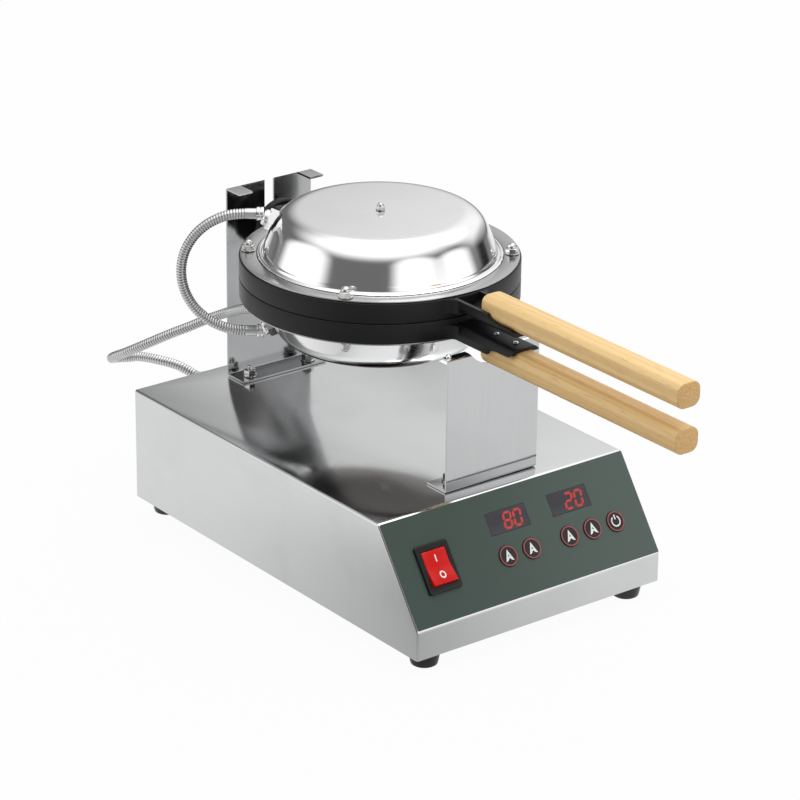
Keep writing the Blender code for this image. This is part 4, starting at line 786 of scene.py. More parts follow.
def dome_line(m, offset=0.0):
    """The outside of a dome: flat crown, wide round shoulder and sloping wall."""
    rise = m.dome_top - m.dome_foot
    corners = ((0.857, 0.994), (0.993, 0.13), (1.0, 0.05))
    line = [(0, m.dome_top)] + [(m.dome * r, m.dome_foot + rise * h) for r, h in corners]
    return [(r + (offset if r else 0), z + offset) for r, z in softened(line, 0.0245, 12)]


def dome_rim(m):
    """The rolled edge from the dome's wall to the end of its flange."""
    z = m.dome_foot
    rows = ((0, 0.0016), (0.0006, 0.0006), (0.0013, 0.0006), (0.0019, 0.0012), (0.0026, 0.0004))
    line = [(m.dome + r, z + h) for r, h in rows]
    return softened(line + [(m.dome_flange - 0.0006, z + 0.0004), (m.dome_flange, z)], 0.0005, 3)


def gland_axis(h):
    """The line of a dome's gland: from the hose's mouth, square to the sloping wall."""
    tilt = math.radians(90 - 22.7)
    return moved((h.mouth, 0, h.level)) @ Matrix.Rotation(tilt, 4, "Y")


def fitting_hole(h, a):
    made = rod(0.0048, -0.0265, -0.0100, "Z", (0, 0), 24)
    made.transform(Matrix.Rotation(a, 4, "Z") @ gland_axis(h))
    return made


def dome(m, h, places):
    """A dome's shell with a hole for each fitting, at the given angles."""
    line = dome_line(m)
    line = [(0.0024, line[0][1])] + line[1:] + dome_rim(m)[1:]
    t = m.dome_sheet
    inside = [(r - 0.0002, m.dome_foot - 0.0009) for r in (m.dome_flange, m.dome)]
    inside += [(r - t * min(1.0, r / 0.06), z - t) for r, z in reversed(dome_line(m)[1:])]
    inside += [(0.0024, m.dome_top - t)]
    return carved(turned(line + inside + line[:1], 160), cut=[fitting_hole(h, a) for a in places])


def cap_nut(reach):
    """A cap nut on its washer and stud, standing on z = 0."""
    r, seat = 0.0035, 0.0043
    cap = [(0, seat + r)]
    cap += [(r * math.sin(a), seat + r * math.cos(a)) for a in (TURN / 4 * i / 10 for i in range(1, 11))]
    core = turned(cap + [(r, 0.0006), (0, 0.0006)], 32)
    guard = [(0, 0.0046), (0.0034, 0.0046), (0.0047, 0.0038), (0.0047, 0.0004), (0, 0.0004)]
    guard = turned(guard, 32, soft=(0.0002, 2))
    hexagon = carved(rod(0.0046, 0.0008, seat, "Z", (0, 0), 6), keep=[guard])
    line = [(0, 0.0009), (0.0052, 0.0009), (0.0052, 0), (0.002, 0), (0.002, -reach), (0, -reach)]
    return joined(core, hexagon, turned(line, 32, soft=(0.0002, 2)))


def hex_nut(radius, low, high, bore=None):
    """A hexagon with its corners chamfered by a cone, along Z."""
    chamfer = radius * 0.13
    guard = [(0, high), (radius - chamfer, high), (radius + 0.0001, high - chamfer * 0.7)]
    guard += [(radius + 0.0001, low + chamfer * 0.7), (radius - chamfer, low), (0, low)]
    made = carved(rod(radius, low, high, "Z", (0, 0), 6), keep=[turned(guard, 48)])
    return carved(made, cut=[rod(bore, low - PAST, high + PAST, "Z", (0, 0), 32)]) if bore else made


class WaffleOperator(bpy.types.Operator):
    """Builds part of the waffle maker"""

    bl_options = {"REGISTER", "UNDO"}

    def execute(self, context):
        self.build(*[getattr(context.scene, name) for name in list(GROUPS)[:5]])
        return {"FINISHED"}


class WAFFLE_OT_castings(WaffleOperator):
    """Two black castings with round cells, grip channels and hinge parts"""

    bl_idname = "waffle.castings"
    bl_label = "Castings"

    def build(self, m, g, s, b, h):
        y, z = s.hinge_y - m.ring_y, s.hinge_rise
        inside = m.ring - 0.008
        web = plate([(inside, z), (inside, z - 0.0065), (y, z - 0.0065), (y, z)], -0.0072, 0.0072, "X")
        self.half(m, g, "upper", [web, rod(0.0065, -0.0072, 0.0072, "X", (y, z), 40)], (y, z))
        z = -z
        disc = s.disc_y - m.ring_y
        back, far = disc + s.disc_depth / 2, disc + s.disc_depth
        ear = [(inside, 0.0135), (back, 0.0135), (back, z * 0.7)]
        ear += arc((y, z), 0.0068, 0, -math.pi, 20)
        ear += [(y - 0.0068, 0.0013), (inside, 0.0013)]
        web = block((0.0268, back - inside, 0.0086), (0, (back + inside) / 2, 0.0088))
        line = [(0, disc), (s.disc - 0.0012, disc), (s.disc, disc + 0.0012)]
        line += [(s.disc, far - 0.001), (s.disc - 0.001, far), (0, far)]
        round_disc = turned(line, 64, "Y", (0.0004, 2))
        ears = [plate(ear, *span, "X") for span in ((-0.0138, -0.0076), (0.0076, 0.0138))]
        bore = rod(SHAFT_HOLE, disc + 0.0012, disc + 0.02, "Y", (0, 0), 32)
        self.half(m, g, "lower", [*ears, web, round_disc], (y, z), bore)

    def half(self, m, g, side, add, pin, *bores):
        cut = [cells(m), *stud_holes(m, g), rod(PIN_HOLE, -0.02, 0.02, "X", pin, 32), *bores]
        place = upper_frame(m) if side == "upper" else lower_frame(m)
        made = carved(casting(m, g), add=add, cut=cut)
        piece(f"{side}_casting", made, "black_casting", f"{side}_half", f"{side}_mould", place)


class WAFFLE_OT_domes(WaffleOperator):
    """Polished domes and the satin rings that clamp them"""

    bl_idname = "waffle.domes"
    bl_label = "Domes and clamp rings"

    def build(self, m, g, s, b, h):
        bridge, supply = h.bridge_angle, h.supply_angle
        places = {"upper": [bridge], "lower": [math.pi - bridge, math.pi - supply]}
        looks = {"upper": "dome_steel", "lower": "heated_steel"}
        low, high = m.rim + GAP, m.rim + 0.0013
        inner, outer = m.clamp_inner, m.clamp_outer
        ring = [(inner, low), (inner, high), (outer, high), (outer, low), (inner, low)]
        for side, place, body in halves(m):
            holes = [rod(STUD_HOLE, low - PAST, high + PAST, "Z", at, 16) for at in nut_places(m)]
            band = carved(turned(ring, 160, soft=(0.00025, 2)), cut=holes)
            piece(f"{side}_band", band, "satin_steel", body, f"{side}_clamp_ring", place)
            shell = dome(m, h, places[side])
            piece(f"{side}_cover", shell, looks[side], body, f"{side}_dome", place)


class WAFFLE_OT_nuts(WaffleOperator):
    """Cap nuts on the clamp rings and on the crowns of the domes"""

    bl_idname = "waffle.nuts"
    bl_label = "Cap nuts"

    def build(self, m, g, s, b, h):
        seat = m.rim + 0.0016
        for side, place, body in halves(m):
            for (x, y), letter in zip(nut_places(m), "abcd"):
                name = f"{side}_clamp_nut_{letter}"
                turn = moved((x, y, seat)) @ Matrix.Rotation(x * 40 + y * 17, 4, "Z")
                piece(f"{name}_cap", cap_nut(0.0095), "nut_steel", body, name, place @ turn)
            small = moved((0, 0, m.dome_top + GAP)) @ Matrix.Diagonal((*[m.crown_nut] * 3, 1))
            nut = cap_nut(0.0285 / m.crown_nut)
            piece(f"{side}_crown_nut", nut, "nut_steel", body, f"{side}_dome_nut", place @ small)


class WAFFLE_OT_grips(WaffleOperator):
    """Wooden grips with rounded ends and the screws that hold them"""

    bl_idname = "waffle.grips"
    bl_label = "Grips"

    def build(self, m, g, s, b, h):
        start = g.front_y - m.ring_y
        end = start + g.length
        screws = [y - m.ring_y for y in screw_places(g)]
        low = g.offset - g.height / 2
        for side, place, body in halves(m):
            outline = box_outline(g.width, g.height, g.wood_corner, 10, (0, g.offset))
            bar = plate(outline, start, end, "Y")
            bevelled(bar, 0.0008, 3, lambda e: all(v.co.y < start + 1e-5 for v in e.verts))
            bevelled(bar, 0.0050, 6, lambda e: all(v.co.y > end - 1e-5 for v in e.verts))
            holes = [rod(SCREW_HOLE, low - 0.002, g.neck_gap + 0.0113, "Z", (0, y), 16) for y in screws]
            piece(f"{side}_wood", carved(bar, cut=holes), "wood", body, f"{side}_grip", place, 40)
            for end_name, y in zip(("front", "rear"), screws):
                name = f"{side}_grip_screw_{end_name}"
                piece(f"{name}_head", self.screw(g), "bright_steel", body, name, place @ moved((0, y, 0)))

    def screw(self, g):
        head, tip = g.neck_gap - g.clearance, g.neck_gap + 0.011
        line = [(0, tip), (0.0015, tip), (0.0015, head), (0.0022, head), (0.0022, head - 0.0004)]
        line += [(0.0015, head - 0.0009), (0, head - 0.0009)]
        slots = ((0.0022, 0.0004, 0.0010), (0.0004, 0.0022, 0.0010))
        slots = [block(size, (0, 0, head - 0.0009)) for size in slots]
        return carved(turned(line, 28, soft=(0.0003, 2)), cut=slots)


class WAFFLE_OT_fittings(WaffleOperator):
    """Glands that lead the conduits into the domes, with their seals"""

    bl_idname = "waffle.fittings"
    bl_label = "Hose fittings"

    def build(self, m, g, s, b, h):
        for name, place, body, a in (
            ("upper_hose_fitting", upper_frame(m), "upper_half", h.bridge_angle),
            ("lower_hose_fitting", lower_frame(m), "lower_half", math.pi - h.bridge_angle),
            ("supply_fitting", lower_frame(m), "lower_half", math.pi - h.supply_angle),
        ):
            at = place @ Matrix.Rotation(a, 4, "Z")
            piece(f"{name}_body", self.fitting(m, h), "bright_steel", body, name, at)
            piece(f"{name}_seal", self.seal(m, h), "rubber", body, (), at)

    def fitting(self, m, h):
        place = gland_axis(h)
        nut = hex_nut(0.0080, -0.0160, -0.0085)
        line = [(0, -0.010), (0.0060, -0.010), (0.0060, -0.0068), (0.0050, -0.0052), (0, -0.0052)]
        shoulder = turned(line, 40, soft=(0.0004, 2))
        for bm in (nut, shoulder):
            bm.transform(place)
        x, r, neck = h.mouth - 0.0055, 0.0048, 0.0043
        line = [(0, x), (r, x), (r, x + 0.0022), (neck, x + 0.0026), (r, x + 0.0030)]
        collar = turned(line + [(r, x + 0.0052), (0, x + 0.0052)], 32, soft=(0.0003, 2))
        collar.transform(moved((0, 0, h.level)) @ AXES["X"])
        body = carved(nut, add=[shoulder, collar], cut=[self.guard(m, 0.0011)])
        stem = rod(0.0044, -0.0290, -0.0120, "Z", (0, 0), 24)
        stem.transform(place)
        return joined(body, stem)

    def seal(self, m, h):
        """The black washer between a gland and its dome."""
        made = rod(0.0072, -0.0190, -0.0120, "Z", (0, 0), 40)
        bore = rod(0.0047, -0.03, 0.0, "Z", (0, 0), 24)
        for bm in (made, bore):
            bm.transform(gland_axis(h))
        return carved(made, cut=[self.guard(m, 0.0002), bore], keep=[self.guard(m, 0.0009)])

    def guard(self, m, gap):
        line = dome_line(m, gap)
        return turned(line + [(line[-1][0], 0.017), (0, 0.017)], 128)


class WAFFLE_OT_pivots(WaffleOperator):
    """Turning shaft, its nut and the hinge pin"""

    bl_idname = "waffle.pivots"
    bl_label = "Shaft and pin"

    def build(self, m, g, s, b, h):
        rise = moved((0, 0, m.axis_z))
        back = s.disc_y + s.disc_depth
        front, end = s.rear_y - GAP, s.rear_y + s.sheet + 0.011
        line = [(0, end), (0.0035, end), (0.004, end - 0.0006), (0.004, front), (0.008, front)]
        line += [(0.008, back + 0.0006), (0.0076, back + GAP), (0.004, back + GAP)]
        line += [(0.004, back - 0.0045), (0, back - 0.0045)]
        shaft = turned(line, 48, "Y", (0.0003, 2))
        start = s.rear_y + s.sheet + GAP
        nut = hex_nut(0.0078, start, start + 0.006, 0.00425)
        nut.transform(AXES["Y"])
        line = [(0, 0.0159), (0.0028, 0.0159), (0.004, 0.0150), (0.004, 0.0141), (0.0025, 0.0141)]
        pin = turned(line + [(0.0025, -0.0159), (0, -0.0159)], 32, "X", (0.0003, 2))
        hinge = moved((0, s.hinge_y, m.axis_z + s.hinge_rise))
        piece("shaft", shaft, "bright_steel", "lower_half", "pivot_shaft", rise)
        piece("shaft_nut", nut, "bright_steel", "lower_half", "pivot_nut", rise)
        piece("pin", pin, "bright_steel", "lower_half", "hinge_pin", hinge)


# Conduits


def even_line(points, pitch):
    """Points at an even pitch along a smooth curve through the given ones."""
    places = [Vector(p) for p in points]
    places = [2 * places[0] - places[1]] + places + [2 * places[-1] - places[-2]]
    fine = []
    for p0, p1, p2, p3 in zip(places, places[1:], places[2:], places[3:]):
        for i in range(24):
            t = i / 24
            cubic = (p1 * 3 - p0 - p2 * 3 + p3) * t * t * t
            fine.append((p1 * 2 + (p2 - p0) * t + (p0 * 2 - p1 * 5 + p2 * 4 - p3) * t * t + cubic) / 2)
    fine.append(places[-2])
    total = sum((q - p).length for p, q in zip(fine, fine[1:]))
    count = max(2, round(total / pitch))
    even, walked = [fine[0]], 0.0
    for p, q in zip(fine, fine[1:]):
        step = (q - p).length
        while walked + step >= total / count * len(even) and len(even) < count:
            even.append(p.lerp(q, (total / count * len(even) - walked) / step))
        walked += step
    return even + [fine[-1]]


def ribbed_tube(h, path):
    """A tube drawn along the path ring by ring, swelling at each rib."""
    bm = bmesh.new()
    # Rib height of each ring; the conduit's material paints shade into the low ones.
    height = bm.verts.layers.float.new("rib_height")
    way = (path[1] - path[0]).normalized()
    turn = moved(path[0]) @ way.to_track_quat("Z", "Y").to_matrix().to_4x4()
    ring = bmesh.ops.create_circle(bm, cap_ends=False, segments=h.sides, radius=h.radius, matrix=turn)
    ends = ring["verts"]
    for v in ends:
        v[height] = 1.0
    bmesh.ops.contextual_create(bm, geom=ends)
    edges = [e for e in bm.edges if all(v in set(ends) for v in e.verts)]
    size, walked = h.radius, 0.0
    span = sum((q - p).length for p, q in zip(path, path[1:]))
    for i in range(1, len(path)):
        before, here = path[i - 1], path[i]
        walked += (here - before).length
        after = (path[min(i + 1, len(path) - 1)] - before).normalized()
        wave = 0.5 + 0.5 * math.cos(TURN * (walked - h.straight) / h.pitch)
        bare = min(walked, span - walked) < h.straight * 0.9
        lift = 1.0 if bare else wave**0.7
        new = h.root + (h.radius - h.root) * lift
        swing = way.rotation_difference(after).to_matrix()
        way = after
        made = bmesh.ops.extrude_edge_only(bm, edges=edges)["geom"]
        edges = [e for e in made if isinstance(e, bmesh.types.BMEdge)]
        for v in made:
            if isinstance(v, bmesh.types.BMVert):
                v.co = here + swing @ (v.co - before) * (new / size)
                v[height] = lift
        size = new
    bmesh.ops.edgeloop_fill(bm, edges=edges)
    bmesh.ops.recalc_face_normals(bm, faces=bm.faces)
    return bm


def mouth(m, h, a, side):
    return Vector((h.mouth * math.cos(a), h.mouth * math.sin(a) + m.ring_y, m.axis_z + side * h.level))


class WAFFLE_OT_hoses(WaffleOperator):
    """Two ribbed steel conduits: dome to dome, and lower dome to base"""

    bl_idname = "waffle.hoses"
    bl_label = "Conduits"

    def build(self, m, g, s, b, h):
        self.bridge(m, h)
        self.supply(m, h)

    def hose(self, name, h, ends, ways, route, long, node):
        start, stop = ends
        first, last = start + ways[0] * h.straight, stop + ways[1] * h.straight
        line = even_line([first, *route, last], h.pitch / 6)
        lead = [start.lerp(first, i / 16) for i in range(16)]
        tail = [last.lerp(stop, i / 16) for i in range(1, 17)]
        path = lead + line + tail
        tube = piece(name, ribbed_tube(h, path), "conduit_steel", None, node, None, 60)
        return tube

    def bridge(self, m, h):
        a = h.bridge_angle
        way = Vector((math.cos(a), math.sin(a), 0))
        top, bottom = mouth(m, h, a, 1), mouth(m, h, a, -1)
        middle = Vector((top.x, top.y, m.axis_z)) + way * h.bridge_run
        route = []
        for i in range(1, 16):
            t = TURN / 4 - math.pi * i / 16
            reach, rise = h.bridge_deep * math.cos(t), h.level * math.sin(t)
            route.append(middle + way * reach + Vector((0, 0, rise)))
        ends, node = (top, bottom), "bridge_hose"
        tube = self.hose("bridge_conduit", h, ends, (way, way), route, h.bridge_length, node)
        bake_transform(tube)

    def supply(self, m, h):
        a = h.supply_angle
        way = Vector((math.cos(a), math.sin(a), 0))
        top = mouth(m, h, a, -1)
        ends, ways, node = (top, GLAND_MOUTH), (way, Vector((0, 1, 0))), "supply_conduit"
        tube = self.hose("feed_conduit", h, ends, ways, SUPPLY_ROUTE, h.supply_length, node)
        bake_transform(tube)


# Base


def folded(points, radius, steps=6):
    """The line of a folded sheet, with true arcs at its folds."""
    made = [points[0]]
    for corners in zip(points, points[1:], points[2:]):
        before, corner, after = (Vector(p) for p in corners)
        a, c = (before - corner).normalized(), (after - corner).normalized()
        half = a.angle(c) / 2
        middle = corner + (a + c).normalized() * radius / math.sin(half)
        start = corner + a * radius / math.tan(half) - middle
        end = corner + c * radius / math.tan(half) - middle
        turn = math.atan2(start.cross(end), start.dot(end))
        made += [tuple(middle + Matrix.Rotation(turn * i / steps, 2) @ start) for i in range(steps + 1)]
    return made + [points[-1]]


def strip(s, points, half):
    """A folded sheet drawn across X, from its outer line inwards."""
    outer = folded(points, s.fold)
    inner = []
    for i, p in enumerate(outer):
        before, after = outer[max(i - 1, 0)], outer[min(i + 1, len(outer) - 1)]
        way = (Vector(after) - Vector(before)).normalized()
        inner.append((p[0] - way.y * s.sheet, p[1] + way.x * s.sheet))
    return plate(outer + inner[::-1], -half, half, "X")


def bolt_places(s):
    rows = (s.rear_y - 0.012, s.front_y + s.sheet + 0.012)
    return [(x, y) for y in rows for x in (-s.bolt_x, s.bolt_x)]


class WAFFLE_OT_supports(WaffleOperator):
    """Mirror-polished plates that carry the shaft and rest the neck"""

    bl_idname = "waffle.supports"
    bl_label = "Supports"

    def build(self, m, g, s, b, h):
        foot = b.top_z + GAP
        holes = [rod(BOLT_HOLE, foot - 0.002, foot + 0.003, "Z", at, 20) for at in bolt_places(s)]
        self.rear(m, s, foot, holes[:2])
        self.front(m, g, s, foot, holes[2:])
        self.bolts(s, foot + s.sheet + GAP)

    def rear(self, m, s, foot, holes):
        back = s.rear_y + s.sheet
        line = [(s.rear_y - s.foot, foot), (back, foot), (back, s.rear_top), (s.rear_y - s.tab, s.rear_top)]
        between = s.rear_half - s.tab_width
        slot = arc((0, m.axis_z), s.slot, math.pi, TURN, 24)
        slot += [(s.slot, s.rear_top + 0.002), (-s.slot, s.rear_top + 0.002)]
        low = s.rear_top - s.sheet - s.fold
        gap = block((2 * between, s.tab + 0.002, 0.02), (0, s.rear_y - (s.tab + 0.002) / 2, low + 0.01))
        cut = [gap, plate(slot, s.rear_y - 0.003, back + 0.003, "Y"), *holes]
        rear = bevelled(carved(strip(s, line, s.rear_half), cut=cut), CUT_EDGE, 1)
        # The rear plate takes the darker copy of polished steel, as painted shade.
        piece("rear_plate", rear, "shaded_steel", "base", "rear_support")

    def front(self, m, g, s, foot, holes):
        line = [(s.front_y + s.flange, s.front_top), (s.front_y, s.front_top)]
        line += [(s.front_y, foot), (s.front_y + s.sheet + s.foot, foot)]
        corner = (g.width / 2 - g.corner, g.offset + g.height / 2 - g.corner)
        notch = math.hypot(*corner) + g.corner + g.clearance
        rests = [(x, s.front_y + s.flange * 0.6) for x in (0.0035 - s.front_half, s.front_half - 0.0035)]
        taps = [rod(0.0015, s.front_top - 0.004, s.front_top + 0.002, "Z", at, 16) for at in rests]
        opening = rod(notch, s.front_y - 0.003, s.front_y + 0.012, "Y", (0, m.axis_z), 128)
        front = bevelled(carved(strip(s, line, s.front_half), cut=[opening, *holes, *taps]), CUT_EDGE, 1)
        piece("front_plate", front, "polished_steel", "base", "front_support")
        r = 0.0022
        for at, end in zip(rests, ("left", "right")):
            line = [(r * math.sin(a), r * math.cos(a)) for a in (TURN / 4 * i / 8 for i in range(9))]
            line += [(r, -0.0001), (0.0012, -0.0001), (0.0012, -0.004), (0, -0.004)]
            up = moved((*at, s.front_top + GAP))
            piece(f"flange_screw_{end}", turned(line, 28), "bright_steel", "base", (), up)

    def bolts(self, s, seat):
        names = [f"{e}_support_bolt_{d}" for e in ("rear", "front") for d in ("left", "right")]
        for i, ((x, y), name) in enumerate(zip(bolt_places(s), names)):
            washer = [(0, 0.0009), (0.0055, 0.0009), (0.0055, 0), (0, 0)]
            shank = [(0, 0.0079), (0.0016, 0.0079), (0.002, 0.0074), (0.002, -0.0085), (0, -0.0085)]
            made = joined(
                turned(washer, 32, soft=(0.0003, 2)),
                hex_nut(0.0048, 0.0008, 0.0049),
                turned(shank, 20, soft=(0.0002, 2)),
            )
            place = moved((x, y, seat)) @ Matrix.Rotation(0.3 + 0.7 * i, 4, "Z")
            piece(f"{name}_set", made, "nut_steel", "base", name, place)


class WAFFLE_OT_housing(WaffleOperator):
    """Folded steel housing with a sloping panel, its floor and its feet"""

    bl_idname = "waffle.housing"
    bl_label = "Housing"

    def build(self, m, g, s, b, h):
        side = [(b.rear_y, b.bottom_z), (b.rear_y, b.top_z), (b.panel_top_y, b.top_z)]
        side += [(b.panel_front_y, b.panel_bottom_z), (b.panel_front_y, b.bottom_z)]
        shell = plate(side, -b.half, b.half, "X")
        under = [f for f in shell.faces if f.normal.z < -0.9]
        bmesh.ops.delete(shell, geom=under, context="FACES")
        folds = [e for e in shell.edges if len(e.link_faces) == 2]
        bmesh.ops.bevel(
            shell, geom=folds, offset=s.fold, segments=4, profile=0.5, affect="EDGES", material=-1
        )
        bmesh.ops.recalc_face_normals(shell, faces=shell.faces)
        shell = thick(shell, s.sheet, -1)
        cuts = panel_openings(b, 0.0006, GAP, 40)
        for bm in cuts:
            bm.transform(panel_frame(b)[0])
        top, back = b.top_z, b.rear_y
        cuts += [rod(BOLT_HOLE, top - 0.004, top + 0.004, "Z", at, 20) for at in bolt_places(s)]
        glands = (CONDUIT_GLAND, MAINS_GLAND)
        cuts += [rod(GLAND_HOLE, back - 0.004, back + 0.004, "Y", at, 32) for at in glands]
        piece("housing_shell", carved(shell, cut=cuts), "housing_steel", "base", "base_housing")
        self.floor(s, b)
        self.feet(b)

    def floor(self, s, b):
        inset = s.sheet + GAP
        size = (2 * (b.half - inset), b.rear_y - b.panel_front_y - 2 * inset, 0.0012)
        middle = (0, (b.rear_y + b.panel_front_y) / 2, b.bottom_z + 0.0006)
        slots = []
        for row in (-0.05, -0.02, 0.01, 0.04):
            for i in range(7):
                outline = box_outline(0.0035, 0.022, 0.0017, 3, (-0.048 + 0.016 * i, 0.08 + row))
                slots.append(plate(outline, b.bottom_z - 0.001, b.bottom_z + 0.003))
        floor = carved(block(size, middle), cut=slots)
        piece("floor_plate", floor, "plain_steel", "base", "bottom_plate")

    def feet(self, b):
        top = b.bottom_z - GAP
        line = [(0, top), (b.foot_top - 0.0008, top), (b.foot_top, top - 0.0012)]
        line += [(b.foot_bottom + 0.0004, 0.0022), (b.foot_bottom, 0.0008), (b.foot_bottom - 0.0012, 0.0)]
        line += [(0.0045, 0.0), (0.0040, 0.0035), (0, 0.0035)]
        ends = (("front", b.panel_front_y + b.foot_inset[1]), ("rear", b.rear_y - b.foot_inset[1]))
        for end, y in ends:
            for side, x in (("left", -1), ("right", 1)):
                at = moved((x * (b.half - b.foot_inset[0]), y, 0))
                foot = turned(line, 48, soft=(0.0008, 3))
                piece(f"rubber_foot_{end}_{side}", foot, "rubber", "base", f"foot_{end}_{side}", at)


def key_places(b):
    half = b.key_pitch / 2
    return {
        "temperature_down": b.temperature_u - half,
        "temperature_up": b.temperature_u + half,
        "time_down": b.time_u - half,
        "time_up": b.time_u + half,
        "start_stop": b.start_u,
    }


def panel_openings(b, window_room, key_room, sides):
    """Cutters for the displays, the keys and the switch, in the panel's own frame."""
    size = (b.window[0] + window_room, b.window[1] + window_room, 0.01)
    cuts = [block(size, (u, b.window_v, 0)) for u in (b.temperature_u, b.time_u)]
    radius = b.key + key_room
    cuts += [rod(radius, -0.005, 0.005, "Z", (u, b.key_v), sides) for u in key_places(b).values()]
    return cuts + [block(SWITCH_HOLE, (b.switch_u, b.switch_v, 0))]


SEGMENTS = {"8": "abcdefg", "0": "abcdef", "2": "abdeg"}


def digit_mesh(text, w=0.0060, height=0.0110, t=0.0018, pitch=0.0089, lean=0.16):
    """Seven-bar figures in one thin mesh, leaning a little to the right."""
    made = []
    half = height / 2
    ends = {
        "a": ((0, height), (w, height)),
        "b": ((w, height), (w, half)),
        "c": ((w, half), (w, 0)),
        "d": ((0, 0), (w, 0)),
        "e": ((0, 0), (0, half)),
        "f": ((0, half), (0, height)),
        "g": ((0, half), (w, half)),
    }
    for i, figure in enumerate(text):
        for key in SEGMENTS[figure]:
            p, q = (Vector(point) for point in ends[key])
            way = (q - p).normalized()
            side, tip = Vector((-way.y, way.x)) * t / 2, way * t / 2
            p, q = p + way * t * 0.16, q - way * t * 0.16
            points = [p, p + tip + side, q - tip + side, q, q - tip - side, p + tip - side]
            made.append(plate([(v.x + i * pitch + lean * v.y, v.y) for v in points], 0, 0.00012))
    return joined(*made)


class WAFFLE_OT_panel(WaffleOperator):
    """Panel film, displays with lit figures, keys and the power switch"""

    bl_idname = "waffle.panel"
    bl_label = "Control panel"

    def build(self, m, g, s, b, h):
        panel, run = panel_frame(b)
        face = GAP + b.film
        size = (2 * b.half - 2 * b.film_margin, run - 2 * b.film_margin)
        sheet = plate(box_outline(*size, 0.0008, 2), GAP, face)
        sheet = carved(sheet, cut=panel_openings(b, 0.0004, 0.0002, 64))
        piece("printed_film", sheet, "panel_film", "base", "control_overlay", panel)
        for name, u, text in (("temperature", b.temperature_u, "80"), ("time", b.time_u, "20")):
            glass = plate(box_outline(*b.window, 0.0006, 3, (u, b.window_v)), face - 0.008, face)
            bevelled(glass, 0.0002, 2)
            piece(f"{name}_window", glass, "display_window", "base", f"{name}_display", panel)
            at = moved((u - 0.0040, b.window_v - 0.0058, face + 0.00003))
            piece(f"{name}_figures", digit_mesh(text), "red_light", "base", (), panel @ at)
        self.keys(b, panel, face + 0.001)
        self.switch(b, panel)

    def keys(self, b, panel, top):
        for name, u in key_places(b).items():
            body, rim = f"{name}_button", b.key
            line = [(0, top), (rim - 0.0003, top), (rim, top - 0.0003), (rim, top - 0.004), (0, top - 0.004)]
            place = panel @ moved((u, b.key_v, 0))
            piece(f"{name}_cap", turned(line, 64, soft=(0.0002, 3)), "key_black", body, f"{name}_key", place)
            ring = self.ring(0.0065, 0.0072, 0.00008, 64, top)
            piece(f"{name}_ring", ring, "red_ink", body, (), place)
            mark = self.power_mark() if name == "start_stop" else self.arrow()
            piece(f"{name}_mark", mark, "white_ink", body, (), place @ moved((0, 0, top)))

    def ring(self, inner, outer, high, steps, low=0.0):
        top = low + high
        return turned([(inner, low), (inner, top), (outer, top), (outer, low), (inner, low)], steps)

    def arrow(self):
        right = [(0.0036, -0.0039), (0.0017, -0.0033), (0.0, -0.0015)]
        points = [(0, 0.0047), *right, *[(-x, y) for x, y in right[1::-1]]]
        hole = [(0.0, 0.0014), (-0.0007, -0.0005), (0.0007, -0.0005)]
        return carved(plate(points, 0, INK), cut=[plate(hole, -PAST, PAST)])

    def power_mark(self):
        gap = math.radians(32)
        start, end = TURN / 4 + gap, TURN / 4 + TURN - gap
        outline = arc((0, 0), 0.0041, start, end, 40) + arc((0, 0), 0.0031, end, start, 40)
        bar = box_outline(0.0011, 0.0036, 0.0003, 2, (0, 0.0031))
        return joined(plate(outline, 0, INK), plate(bar, 0, INK))

    def switch(self, b, panel):
        place = panel @ moved((b.switch_u, b.switch_v, 0.0012))
        flange = plate(box_outline(0.0285, 0.0350, 0.0020, 6), 0, 0.0020)
        bevelled(flange, 0.0009, 3, lambda e: all(v.co.z > 0.0019 for v in e.verts))
        body = block((0.0225, 0.0290, 0.0130), (0, 0, -0.0055))
        well = block((0.0211, 0.0262, 0.0150), (0, 0, -0.0029))
        rim = carved(flange, add=[body], cut=[well])
        piece("switch_frame", rim, "black_plastic", "base", "switch_bezel", place)
        radius, crest, reach, edge = 0.0128, 0.0018, 0.0118, 0.00325
        top, bottom = math.radians(14), math.radians(32)
        saddle = [(reach, edge), (0.006, 0.00235), (0.002, crest + 0.0001), (0, crest)]
        saddle += [(-y, z) for y, z in saddle[2::-1]]
        line = arc((0, 0), radius, -bottom, top, 14) + saddle
        line += arc((0, 0), radius, math.pi - top, math.pi + bottom, 14)
        half = 0.01025
        lever = bevelled(plate(line, -half, half, "X"), 0.0005, 2)
        tilt = place @ moved((0, 0, 0.0004)) @ Matrix.Rotation(math.radians(-7), 4, "X")
        piece("switch_lever", lever, "red_plastic", "rocker", "power_rocker", tilt)
        slope = math.atan2(edge - crest, reach)
        on, off = (
            tilt @ moved((0, side * 0.0062, 0.00248)) @ Matrix.Rotation(side * slope, 4, "X")
            for side in (1, -1)
        )
        bar = plate(box_outline(0.0010, 0.0052, 0.0003, 2), 0, INK)
        ring = self.ring(0.0015, 0.0025, INK, 40)
        bmesh.ops.scale(ring, vec=(1, 1.15, 1), verts=ring.verts)
        piece("switch_on_mark", bar, "white_ink", "rocker", (), on)
        piece("switch_off_mark", ring, "white_ink", "rocker", (), off)


